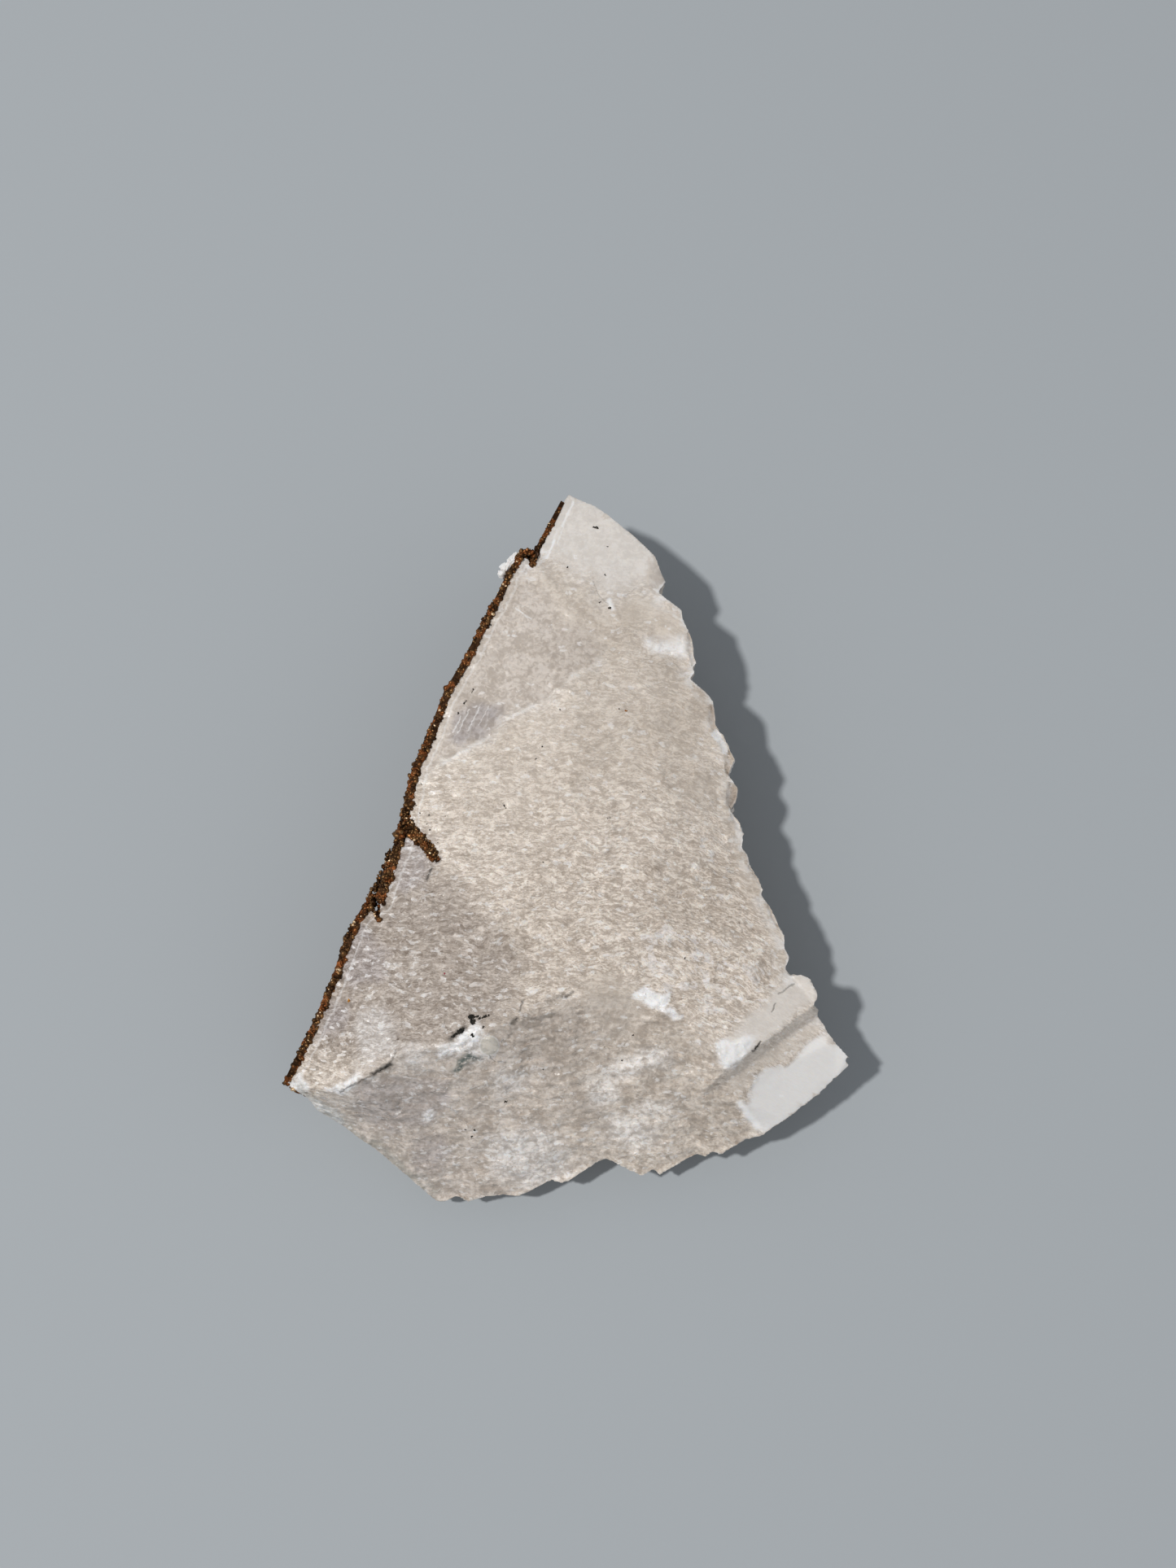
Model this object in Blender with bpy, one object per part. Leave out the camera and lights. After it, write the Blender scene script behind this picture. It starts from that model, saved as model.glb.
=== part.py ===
"""Marcasite on calcite, a broken mineral specimen that lies on a flat cleaved base.

The calcite is one solid of crystals grown together. Its upper side is a fracture, its right
and front sides end in parallel crystal blocks, and its left side is a stepped wall of large
crystal faces. Thin sheets of marcasite druse coat that wall, one on each step, and one turns
inwards as a seam between two steps. A small later calcite crystal group sits on the druse.

Metres, +Z up. The origin is on the ground, under the middle of the whole specimen.
"""

from math import atan2, cos, pi, radians, sin
from random import Random

import bmesh
import bpy
from mathutils import Vector, geometry

MM = 0.001

# The rim and the ridges were laid out as seen from a point above the front of the specimen.
# Across and up are measured in a plane through SIGHT_MIDDLE that faces that point.
SIGHT_TILT = radians(12)
SIGHT_DISTANCE = 260.0
SIGHT_MIDDLE = (2.2, 5.1, 18.0)

# The rim, clockwise from the tip, in runs: (first height, last height, points across and up).
# Heights are above the ground and change evenly along a run. All in millimetres.
RIM_RUNS = {
    "tip crystal": (17.0, 16.5, [
        (-2.0, 29.8), (-0.9, 29.2), (0.6, 28.6), (2.1, 27.6), (4.4, 25.8), (5.8, 24.5),
        (6.9, 23.4), (7.5, 21.9), (8.0, 20.7),
    ]),
    "right edge": (16.8, 15.2, [
        (7.2, 19.7), (8.7, 18.6), (9.6, 17.9), (9.8, 16.8), (10.8, 14.8), (10.9, 13.2),
        (11.2, 12.5), (10.8, 12.0), (11.0, 11.5), (10.5, 10.8), (12.1, 9.5), (12.9, 8.5),
        (13.1, 6.8), (13.2, 6.0), (13.9, 5.1), (14.7, 3.6), (15.2, 2.6), (14.5, 0.8),
        (15.5, -0.4), (15.3, -1.6), (14.6, -2.7), (15.6, -3.8), (16.1, -5.2), (15.8, -6.5),
        (16.4, -7.1), (16.7, -8.5), (17.5, -9.5), (18.0, -10.8), (17.8, -11.3), (18.7, -12.5),
        (19.5, -14.2), (20.2, -15.6), (20.2, -16.7), (20.7, -17.7), (20.3, -18.8),
        (20.7, -19.6),
    ]),
    "upper step": (15.9, 14.9, [
        (21.9, -19.4), (22.8, -19.9), (23.3, -20.8), (23.7, -21.7), (23.2, -22.6),
    ]),
    "trough": (13.0, 12.5, [(23.7, -23.1), (23.6, -23.8), (24.4, -24.8), (24.5, -25.3)]),
    "lower step": (12.4, 8.6, [
        (25.3, -26.3), (26.8, -28.0), (26.4, -28.4), (26.8, -28.8), (25.3, -30.2),
        (23.7, -31.8), (20.3, -34.4), (19.0, -35.2),
    ]),
    "front right": (8.1, 5.3, [
        (17.8, -36.1), (16.1, -36.5), (13.6, -38.0), (12.8, -37.7), (12.1, -38.2),
        (11.1, -37.9), (7.3, -40.1),
    ]),
    "front notch": (5.2, 6.4, [(6.7, -39.5), (5.5, -40.2), (3.2, -39.1), (1.8, -38.4)]),
    "front edge": (6.2, 4.2, [
        (0.8, -38.9), (-2.0, -40.7), (-2.8, -40.9), (-3.7, -40.6), (-5.7, -41.6),
        (-7.3, -42.3), (-8.7, -42.1), (-10.8, -42.4), (-12.3, -42.8), (-13.6, -42.2),
        (-14.6, -42.8), (-15.5, -42.8),
    ]),
    "front left break": (4.8, 12.6, [
        (-16.7, -41.8), (-18.5, -40.2), (-21.7, -37.5), (-25.2, -35.0), (-27.7, -33.5),
        (-28.8, -32.2), (-30.4, -31.2),
    ]),
    "lower wall": (13.2, 19.4, [
        (-30.8, -30.7), (-30.0, -29.2), (-29.0, -27.2), (-27.3, -23.8), (-25.5, -19.4),
        (-24.3, -15.8), (-23.1, -13.7), (-22.3, -12.4),
    ]),
    "middle wall": (19.6, 20.4, [(-20.9, -12.0), (-20.2, -9.6), (-19.6, -7.7), (-18.4, -4.7)]),
    "upper wall": (20.5, 19.0, [
        (-18.2, -2.8), (-18.2, -1.7), (-17.4, 1.6), (-15.9, 4.9), (-14.2, 9.4), (-12.2, 12.7),
        (-10.7, 15.9), (-8.8, 19.5), (-7.9, 21.6), (-6.8, 23.2),
    ]),
    "tip wall": (18.8, 17.2, [(-6.2, 23.3), (-5.2, 23.5), (-3.6, 26.8), (-2.6, 28.9)]),
}

# Breaks of slope on the fracture, as (across, up, height) in millimetres.
RIDGE = [
    (-28.4, -31.2, 14.6), (-25.3, -31.2, 16.2), (-22.0, -29.5, 18.2), (-19.6, -27.6, 19.4),
    (-15.5, -27.0, 19.9), (-10.5, -25.4, 20.0), (-4.5, -22.6, 20.0), (0.8, -21.3, 19.6),
    (4.9, -21.5, 18.9), (9.9, -24.2, 17.6), (13.0, -27.2, 16.4), (14.2, -29.1, 15.4),
]
UPPER_STEP_EDGE = [(14.2, -29.1, 15.4), (19.0, -25.7, 15.3)]
UPPER_STEP_FOOT = [(15.1, -29.9, 13.2), (19.4, -26.7, 13.2)]
LOWER_STEP_EDGE = [(15.8, -32.4, 11.4), (19.8, -28.9, 12.0)]
APRON_BREAK = [(15.1, -29.9, 13.2), (15.8, -32.4, 11.4), (16.9, -34.6, 9.2)]
FRACTURE_POINTS = [
    (-13.5, 0.2, 21.0), (-1.8, -3.1, 20.6), (8.2, -3.1, 18.9), (-1.8, 9.4, 20.2),
    (6.0, 7.8, 18.4), (-10.2, -15.6, 20.6), (4.8, -13.9, 19.4), (14.8, -18.1, 16.9),
    (-1.8, 18.6, 18.9), (4.8, 18.2, 17.6), (-6.3, 16.9, 19.6), (17.6, -21.6, 16.4),
    (-19.0, -34.5, 12.2), (-8.0, -34.0, 12.2), (3.0, -31.5, 12.8), (11.0, -32.5, 11.4),
]

# The outline where the specimen meets the ground, as (x, y) in millimetres.
BASE_OUTLINE = [
    (-2.6, 29.5), (2.2, 26.5), (4.6, 19.0), (6.8, 8.0), (9.5, -3.0), (14.0, -13.0), (17.0, -20.0),
    (13.0, -25.5), (4.0, -28.0), (-6.0, -30.0), (-16.0, -30.5), (-25.5, -25.5),
    (-24.5, -20.0), (-19.5, -9.5), (-16.4, -1.5), (-13.2, 9.5), (-7.6, 20.5), (-5.0, 27.0),
]
HUB = (-1.0, -6.0)
SUNK = -3.0

# How far down each ring of the sides lies, as a share of the height, and how far it has
# moved from the rim's outline to the base's.
SIDE_RINGS = [(0.0, 0.0), (0.05, 0.01), (0.2, 0.14), (0.42, 0.42), (0.68, 0.74), (1.0, 0.97)]

# The steps of the left wall, by run: how far each ring stands in from the rim, in millimetres.
WALL_STEPS = {
    "lower wall": (0.0, 0.0, 0.1, -0.9, -0.7, 0.9),
    "middle wall": (0.0, 0.1, 0.2, 0.5, 0.2, 1.2),
    "upper wall": (0.0, 0.0, 0.3, 0.5, 1.5, 1.3),
    "tip wall": (0.0, 0.1, 0.5, 0.9, 0.7, 1.0),
}

# The three edge directions of every calcite block: the crystals are in parallel growth.
CLEAVAGE = [
    Vector((0.80, 0.58, 0.14)).normalized(),
    Vector((0.62, -0.74, 0.26)).normalized(),
    Vector((0.45, -0.06, -0.89)).normalized(),
]
BLOCK_SEED = 7
BLOCK_BEVEL = 0.35
BLOCK_ARC = (radians(70), radians(-132))
BLOCK_HALF_SIZES = (1.9, 3.2)
BLOCK_PITCH = 0.95
LOWEST_BLOCK = 0.5
# Each row of blocks: how far its tops lie below the rim, how far it stands proud and how
# much larger its blocks are.
BLOCK_ROWS = [(0.9, 0.8, 0.0), (4.6, 1.3, 0.25), (8.6, 1.5, 0.5)]
RIM_OVERHANG = 1.2

# Each druse sheet: its run of the rim, the first and last point taken, and how far its
# outer side stands off the wall at either end.
SKIN_GAP = 0.3
CRUSTS = {
    "marcasite_crust_lower": ("lower wall", 0, 8, 0.7, 0.9),
    "marcasite_crust_middle": ("middle wall", 0, 4, 1.2, 1.1),
    "marcasite_crust_upper": ("upper wall", 0, 10, 1.0, 0.55),
    "marcasite_crust_tip": ("tip wall", 1, 4, 0.8, 0.5),
}
CRUST_FOOT = 1.5

# Clefts between the steps of the wall: the fracture's height there and the outline in the
# sighting plane. The seam's plate of druse stands in the first.
CLEFTS = {
    "seam_cleft": (20.2, [
        (-18.9, -2.9), (-17.8, -3.5), (-16.7, -4.9), (-15.3, -6.6), (-15.5, -7.7), (-16.8, -7.3),
        (-17.9, -6.3), (-18.7, -5.0), (-19.3, -4.0),
    ]),
    "tip_cleft": (18.8, [
        (-6.7, 24.2), (-6.2, 23.3), (-5.8, 22.3), (-5.2, 23.3), (-4.9, 24.2),
    ]),
    "lower_cleft": (19.5, [
        (-23.0, -11.8), (-22.2, -12.7), (-21.4, -14.2), (-21.4, -12.9), (-21.5, -11.8),
    ]),
}
CLEFT_DEPTH = 6.0
CLEFT_CLEARANCE = 6.0
SEAM_TOP = 20.2
SEAM_PLATE = [(-17.8, -4.3), (-16.9, -5.4), (-15.8, -7.0), (-16.9, -6.6), (-17.8, -5.4)]
SEAM_DEPTH = 5.4
GROUND_BLOCK = (120.0, 120.0, 20.0)

# The late calcite group: which point and ring of the upper wall it stands by, and how far its
# middle is from the wall. Each block is (along, out, up, half size) from that middle.
BUD_POINT = 9
BUD_RING = 2
BUD_STAND = 1.75
BUD_BLOCKS = [(-0.3, 0.0, 0.0, 0.85), (0.45, 0.0, 0.35, 0.7), (-1.05, -0.05, -0.35, 0.75)]
BUD_SHAPE = (1.0, 0.4, 0.7)
BUD_BEVEL = 0.15

COLOURS = {
    "calcite": ((0.74, 0.69, 0.62, 1.0), 0.0, 0.42),
    "marcasite": ((0.16, 0.09, 0.035, 1.0), 0.85, 0.38),
    "white_calcite": ((0.86, 0.84, 0.80, 1.0), 0.0, 0.38),
}


def clear_scene():
    for obj in list(bpy.data.objects):
        bpy.data.objects.remove(obj)


def make_material(name):
    colour, metallic, roughness = COLOURS[name]
    material = bpy.data.materials.new(name)
    material.use_nodes = True
    shader = material.node_tree.nodes["Principled BSDF"]
    shader.inputs["Base Color"].default_value = colour
    shader.inputs["Metallic"].default_value = metallic
    shader.inputs["Roughness"].default_value = roughness
    return material


def sighted(across, up, height):
    """The point at that height on the sight line through (across, up), in millimetres."""
    middle = Vector(SIGHT_MIDDLE)
    seen = middle + Vector((across, up * cos(SIGHT_TILT), up * sin(SIGHT_TILT)))
    eye = middle + SIGHT_DISTANCE * Vector((0.0, -sin(SIGHT_TILT), cos(SIGHT_TILT)))
    return eye + (seen - eye) * ((eye.z - height) / (eye.z - seen.z))


def rim_points():
    """Every rim point and the name of its run."""
    rim = []
    for run, (first, last, points) in RIM_RUNS.items():
        for i, (across, up) in enumerate(points):
            height = first + (last - first) * i / (len(points) - 1)
            rim.append((run, sighted(across, up, height)))
    return rim


def reach_of_base(angle):
    """How far from the hub the base outline lies in that direction."""
    hub = Vector(HUB)
    beyond = hub + 100.0 * Vector((cos(angle), sin(angle)))
    for i, corner in enumerate(BASE_OUTLINE):
        after = BASE_OUTLINE[(i + 1) % len(BASE_OUTLINE)]
        hit = geometry.intersect_line_line_2d(hub, beyond, Vector(corner), Vector(after))
        if hit:
            return (hit - hub).length
    raise ValueError("the base outline doesn't go round the hub")


def outward(rim, i):
    """The level direction that points out of the side at a rim point."""
    before = rim[i - 2][1]
    after = rim[(i + 2) % len(rim)][1]
    along = after - before
    return Vector((-along.y, along.x, 0.0)).normalized()


def side_column(rim, i):
    """The points of the side below rim point i, from the rim to below the ground."""
    run, top = rim[i]
    angle = atan2(top.y - HUB[1], top.x - HUB[0])
    reach = Vector((top.x - HUB[0], top.y - HUB[1])).length
    base_reach = reach_of_base(angle)
    steps = WALL_STEPS.get(run, (0.0,) * len(SIDE_RINGS))
    column = []
    for (down, moved), step in zip(SIDE_RINGS, steps):
        ring_reach = reach + (base_reach - reach) * moved
        x = HUB[0] + ring_reach * cos(angle)
        y = HUB[1] + ring_reach * sin(angle)
        z = top.z + (SUNK - top.z) * down
        column.append(Vector((x, y, z)) - outward(rim, i) * step)
    return column


def fracture_triangles(rim):
    """The upper side as points and triangles, with its breaks of slope kept as edges."""
    points = [point for _, point in rim]
    edges = [(i, (i + 1) % len(rim)) for i in range(len(rim))]
    names = [run for run, _ in rim]
    upper_step_end = names.index("trough") - 1
    upper_foot_end = names.index("trough") + 1
    lower_step_end = names.index("lower step") - 1
    breaks = [
        (RIDGE, None),
        (UPPER_STEP_EDGE, upper_step_end),
        (UPPER_STEP_FOOT, upper_foot_end),
        (LOWER_STEP_EDGE, lower_step_end),
        (APRON_BREAK, names.index("front right")),
    ]
    for line, end in breaks:
        first = len(points)
        points += [sighted(*place) for place in line]
        edges += [(k, k + 1) for k in range(first, len(points) - 1)]
        if end is not None:
            edges.append((len(points) - 1, end))
    points += [sighted(*place) for place in FRACTURE_POINTS]
    flat = [Vector((p.x, p.y)) for p in points]
    made = geometry.delaunay_2d_cdt(flat, edges, [], 1, 0.01)
    heights = [points[sources[0]].z for sources in made[3]]
    kept = [Vector((v.x, v.y, z)) for v, z in zip(made[0], heights)]
    rim_index = {sources_of: k for k, found in enumerate(made[3]) for sources_of in found}
    return kept, made[2], [rim_index[i] for i in range(len(rim))]


def mesh_object(name, points, faces, material):
    """An object from points in millimetres, with its faces pointing out."""
    mesh = bpy.data.meshes.new(name)
    mesh.from_pydata([p * MM for p in points], [], faces)
    work = bmesh.new()
    work.from_mesh(mesh)
    bmesh.ops.recalc_face_normals(work, faces=work.faces)
    work.to_mesh(mesh)
    work.free()
    if material:
        mesh.materials.append(material)
    obj = bpy.data.objects.new(name, mesh)
    bpy.context.scene.collection.objects.link(obj)
    return obj


def make_growth(rim, columns, material):
    """The calcite's main form: the fracture, the sides and the underside."""
    points, faces, top_ring = fracture_triangles(rim)
    faces = [tuple(face) for face in faces]
    above = top_ring
    for ring in range(1, len(SIDE_RINGS)):
        below = [len(points) + i for i in range(len(rim))]
        points += [column[ring] for column in columns]
        for i in range(len(rim)):
            j = (i + 1) % len(rim)
            faces.append((above[i], above[j], below[j]))
            faces.append((above[i], below[j], below[i]))
        above = below
    faces.append(tuple(above))
    return mesh_object("calcite_body", points, faces, material)


def keep_as_helper(obj, collection):
    """Keep an object that only a Boolean uses, out of sight in its own collection."""
    for home in list(obj.users_collection):
        home.objects.unlink(obj)
    collection.objects.link(obj)
    obj.hide_render = True
    obj.display_type = "WIRE"


def make_block(name, middle, sizes, bevel, collection):
    """A bevelled cleavage block, with its middle and its half edges in millimetres."""
    edges = [way * size for way, size in zip(CLEAVAGE, sizes)]
    work = bmesh.new()
    for a in (-1, 1):
        for b in (-1, 1):
            for c in (-1, 1):
                work.verts.new((middle + edges[0] * a + edges[1] * b + edges[2] * c) * MM)
    bmesh.ops.convex_hull(work, input=work.verts)
    bmesh.ops.dissolve_limit(work, angle_limit=radians(1), verts=work.verts, edges=work.edges)
    bmesh.ops.bevel(
        work, geom=list(work.edges), offset=bevel * MM, segments=1, affect="EDGES",
        clamp_overlap=True,
    )
    bmesh.ops.recalc_face_normals(work, faces=work.faces)
    mesh = bpy.data.meshes.new(name)
    work.to_mesh(mesh)
    work.free()
    block = bpy.data.objects.new(name, mesh)
    keep_as_helper(block, collection)
    return block


def side_reach(columns, angle, height):
    """How far out from the hub the side lies at that height, or the rim without one.

    It is read from the nearest column of the sides. The rim's height comes with it.
    """
    def turn(column):
        way = atan2(column[0].y - HUB[1], column[0].x - HUB[0])
        return abs((way - angle + pi) % (2 * pi) - pi)

    nearest = min(columns, key=turn)
    point = nearest[0]
    if height is not None:
        for upper, lower in zip(nearest, nearest[1:]):
            if upper.z >= height >= lower.z:
                point = upper.lerp(lower, (upper.z - height) / (upper.z - lower.z))
                break
    return Vector((point.x - HUB[0], point.y - HUB[1])).length, nearest[0].z


def add_side_blocks(columns, collection):
    """Rows of parallel crystal blocks below the rim, round the right and front sides."""
    chance = Random(BLOCK_SEED)
    for row, (drop, proud, larger) in enumerate(BLOCK_ROWS):
        angle = BLOCK_ARC[0] - radians(2.5 * row)
        number = 0
        while angle > BLOCK_ARC[1]:
            way = Vector((cos(angle), sin(angle), 0.0))
            size = chance.uniform(*BLOCK_HALF_SIZES) + larger
            sizes = [size * chance.uniform(0.75, 1.2) for _ in CLEAVAGE]
            rise = sum(abs(edge.z) * s for edge, s in zip(CLEAVAGE, sizes))
            width = sum(abs(edge.dot(way)) * s for edge, s in zip(CLEAVAGE, sizes))
            rim_reach, rim_height = side_reach(columns, angle, None)
            height = rim_height - drop - rise - chance.uniform(0.0, 1.2)
            stand = proud * chance.uniform(0.3, 1.0)
            if height > LOWEST_BLOCK:
                reach, _ = side_reach(columns, angle, height)
                out = min(reach + stand, rim_reach - RIM_OVERHANG) - width
                middle = Vector((HUB[0], HUB[1], height)) + way * out
                make_block(f"block_{row}_{number}", middle, sizes, BLOCK_BEVEL, collection)
            angle -= BLOCK_PITCH * size / rim_reach
            number += 1


def make_prism(name, outline, top, bottom, material):
    """An upright prism with that outline in the sighting plane, sighted at height top."""
    upper = [sighted(across, up, top) for across, up in outline]
    lower = [Vector((p.x, p.y, bottom)) for p in upper]
    count = len(outline)
    faces = [tuple(range(count)), tuple(range(2 * count - 1, count - 1, -1))]
    faces += [(i, i + count, (i + 1) % count + count, (i + 1) % count) for i in range(count)]
    return mesh_object(name, upper + lower, faces, material)


def add_cleft_cutters(collection):
    """One upright cutter for each cleft, from above the fracture to the cleft's floor."""
    for name, (top, outline) in CLEFTS.items():
        cutter = make_prism(name, outline, top, top - CLEFT_DEPTH, None)
        for vertex in cutter.data.vertices[: len(outline)]:
            vertex.co.z += CLEFT_CLEARANCE * MM
        keep_as_helper(cutter, collection)


def add_ground_cutter(collection):
    """Everything below the ground, which leaves the flat cleaved base."""
    work = bmesh.new()
    bmesh.ops.create_cube(work, size=MM)
    bmesh.ops.scale(work, verts=work.verts, vec=GROUND_BLOCK)
    bmesh.ops.translate(work, verts=work.verts, vec=(0.0, 0.0, -GROUND_BLOCK[2] / 2 * MM))
    mesh = bpy.data.meshes.new("ground")
    work.to_mesh(mesh)
    work.free()
    keep_as_helper(bpy.data.objects.new("ground", mesh), collection)


def boolean(obj, name, operation, collection):
    modifier = obj.modifiers.new(name, "BOOLEAN")
    modifier.operation = operation
    modifier.operand_type = "COLLECTION"
    modifier.collection = collection
    modifier.solver = "EXACT"


def helper_collection(name):
    collection = bpy.data.collections.new(name)
    bpy.context.scene.collection.children.link(collection)
    collection.hide_render = True
    return collection


def make_crust(name, rim, columns, material):
    """A sheet of druse in front of one step of the left wall, clear of it by SKIN_GAP."""
    run, first, last, start_stand, end_stand = CRUSTS[name]
    start = [r for r, _ in rim].index(run)
    inner, outer = [], []
    for k in range(first, last):
        i = start + k
        stand = start_stand + (end_stand - start_stand) * (k - first) / (last - first - 1)
        way = outward(rim, i)
        above, below = columns[i][-2:]
        foot = above.lerp(below, (above.z - CRUST_FOOT) / (above.z - below.z))
        column = columns[i][:-1] + [foot]
        inner.append([p + way * SKIN_GAP for p in column])
        outer.append([p + way * stand for p in column])
    rows = len(SIDE_RINGS)
    points = [p for column in inner for p in column] + [p for column in outer for p in column]
    behind = len(inner) * rows
    faces = []

    def quad(a, b, c, d):
        faces.append((a, b, c))
        faces.append((a, c, d))

    for i in range(len(inner) - 1):
        for j in range(rows - 1):
            a, b = i * rows + j, (i + 1) * rows + j
            quad(a, b, b + 1, a + 1)
            quad(behind + a, behind + a + 1, behind + b + 1, behind + b)
        top, next_top = i * rows, (i + 1) * rows
        quad(top, behind + top, behind + next_top, next_top)
        foot, next_foot = top + rows - 1, next_top + rows - 1
        quad(foot, next_foot, behind + next_foot, behind + foot)
    for end in (0, (len(inner) - 1) * rows):
        for j in range(rows - 1):
            a = end + j
            quad(a, a + 1, behind + a + 1, behind + a)
    return mesh_object(name, points, faces, material)


def make_bud(rim, columns, material):
    """Three small calcite blocks grown together on the druse of the upper wall."""
    helpers = helper_collection("bud_blocks")
    i = [run for run, _ in rim].index("upper wall") + BUD_POINT
    way = outward(rim, i)
    along = Vector((way.y, -way.x, 0.0))
    blocks = []
    for k, (forward, out, up, size) in enumerate(BUD_BLOCKS):
        middle = columns[i][BUD_RING] + along * forward + way * (BUD_STAND + out)
        middle.z += up
        sizes = [size * share for share in BUD_SHAPE]
        blocks.append(make_block(f"bud_{k}", middle, sizes, BUD_BEVEL, helpers))
    first = blocks[0]
    bud = bpy.data.objects.new("calcite_bud", first.data)
    bud.data.materials.append(material)
    bpy.context.scene.collection.objects.link(bud)
    bpy.data.objects.remove(first)
    boolean(bud, "grown together", "UNION", helpers)
    return bud


def main():
    clear_scene()
    calcite = make_material("calcite")
    marcasite = make_material("marcasite")
    white = make_material("white_calcite")
    rim = rim_points()
    columns = [side_column(rim, i) for i in range(len(rim))]

    body = make_growth(rim, columns, calcite)
    blocks = helper_collection("side_blocks")
    add_side_blocks(columns, blocks)
    boolean(body, "side blocks", "UNION", blocks)
    cutters = helper_collection("cutters")
    add_cleft_cutters(cutters)
    add_ground_cutter(cutters)
    boolean(body, "clefts and base", "DIFFERENCE", cutters)

    for name in CRUSTS:
        make_crust(name, rim, columns, marcasite)
    make_prism("marcasite_seam", SEAM_PLATE, SEAM_TOP, SEAM_TOP - SEAM_DEPTH, marcasite)
    make_bud(rim, columns, white)


main()
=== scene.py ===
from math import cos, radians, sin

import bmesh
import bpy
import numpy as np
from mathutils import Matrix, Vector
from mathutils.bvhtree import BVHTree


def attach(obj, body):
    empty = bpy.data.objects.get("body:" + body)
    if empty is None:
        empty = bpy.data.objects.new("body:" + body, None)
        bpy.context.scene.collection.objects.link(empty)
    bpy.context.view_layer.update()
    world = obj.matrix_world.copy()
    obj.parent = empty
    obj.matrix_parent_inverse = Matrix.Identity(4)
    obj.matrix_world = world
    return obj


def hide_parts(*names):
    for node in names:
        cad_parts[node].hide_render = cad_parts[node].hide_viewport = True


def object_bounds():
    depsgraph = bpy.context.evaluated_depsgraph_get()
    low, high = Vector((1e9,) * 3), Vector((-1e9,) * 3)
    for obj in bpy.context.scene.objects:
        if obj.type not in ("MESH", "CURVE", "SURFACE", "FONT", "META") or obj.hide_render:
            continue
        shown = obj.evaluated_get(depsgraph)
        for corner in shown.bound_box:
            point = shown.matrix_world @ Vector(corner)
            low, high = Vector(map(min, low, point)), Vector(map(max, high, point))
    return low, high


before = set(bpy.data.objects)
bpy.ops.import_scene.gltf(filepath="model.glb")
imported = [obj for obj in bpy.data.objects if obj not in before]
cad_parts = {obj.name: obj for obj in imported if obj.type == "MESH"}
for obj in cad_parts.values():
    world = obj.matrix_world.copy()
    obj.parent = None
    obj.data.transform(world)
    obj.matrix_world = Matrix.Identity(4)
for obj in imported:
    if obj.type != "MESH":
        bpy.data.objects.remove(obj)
cad_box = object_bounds()

# The looks of a marcasite on calcite specimen: a slab of milky calcite, seen from above its
# broken face, with a thin druse of marcasite crystals over its stepped left wall.
#
# Lengths in this file are in millimetres until a mesh is made. Places on the specimen are
# given as the camera sees them: across and up in a plane through SIGHT_MIDDLE that faces it.

MM = 0.001
PHOTO_HEIGHT = 1927

SIGHT_TILT = radians(12)
SIGHT_DISTANCE = 260.0
SIGHT_MIDDLE = np.array([2.2, 5.1, 18.0])
PIXELS_PER_MM = 12.0
SIGHT_UP = np.array([0.0, cos(SIGHT_TILT), sin(SIGHT_TILT)])
SIGHT_BACK = np.array([0.0, -sin(SIGHT_TILT), cos(SIGHT_TILT)])
EYE = SIGHT_MIDDLE + SIGHT_DISTANCE * SIGHT_BACK

# The rim of the broken face, as (across, up): the walls with druse, and the crystal ends.
LEFT_RIM = np.array([
    (-30.8, -30.7), (-30.0, -29.2), (-29.0, -27.2), (-27.3, -23.8), (-25.5, -19.4),
    (-24.3, -15.8), (-23.1, -13.7), (-22.3, -12.4), (-20.9, -12.0), (-20.2, -9.6),
    (-19.6, -7.7), (-18.4, -4.7), (-18.2, -2.8), (-17.4, 1.6), (-15.9, 4.9), (-14.2, 9.4),
    (-12.2, 12.7), (-10.7, 15.9), (-8.8, 19.5), (-7.9, 21.6), (-6.8, 23.2), (-5.2, 23.5),
    (-3.6, 26.8), (-2.6, 28.9),
])
RIGHT_RIM = np.array([
    (8.0, 20.7), (7.2, 19.7), (8.7, 18.6), (9.6, 17.9), (9.8, 16.8), (10.8, 14.8),
    (10.9, 13.2), (11.2, 12.5), (10.8, 12.0), (11.0, 11.5), (10.5, 10.8), (12.1, 9.5),
    (12.9, 8.5), (13.1, 6.8), (13.2, 6.0), (13.9, 5.1), (14.7, 3.6), (15.2, 2.6), (14.5, 0.8),
    (15.5, -0.4), (15.3, -1.6), (14.6, -2.7), (15.6, -3.8), (16.1, -5.2), (15.8, -6.5),
    (16.4, -7.1), (16.7, -8.5), (17.5, -9.5), (18.0, -10.8), (17.8, -11.3), (18.7, -12.5),
    (19.5, -14.2), (20.2, -15.6), (20.2, -16.7), (20.7, -17.7), (20.3, -18.8), (20.7, -19.6),
])

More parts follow.
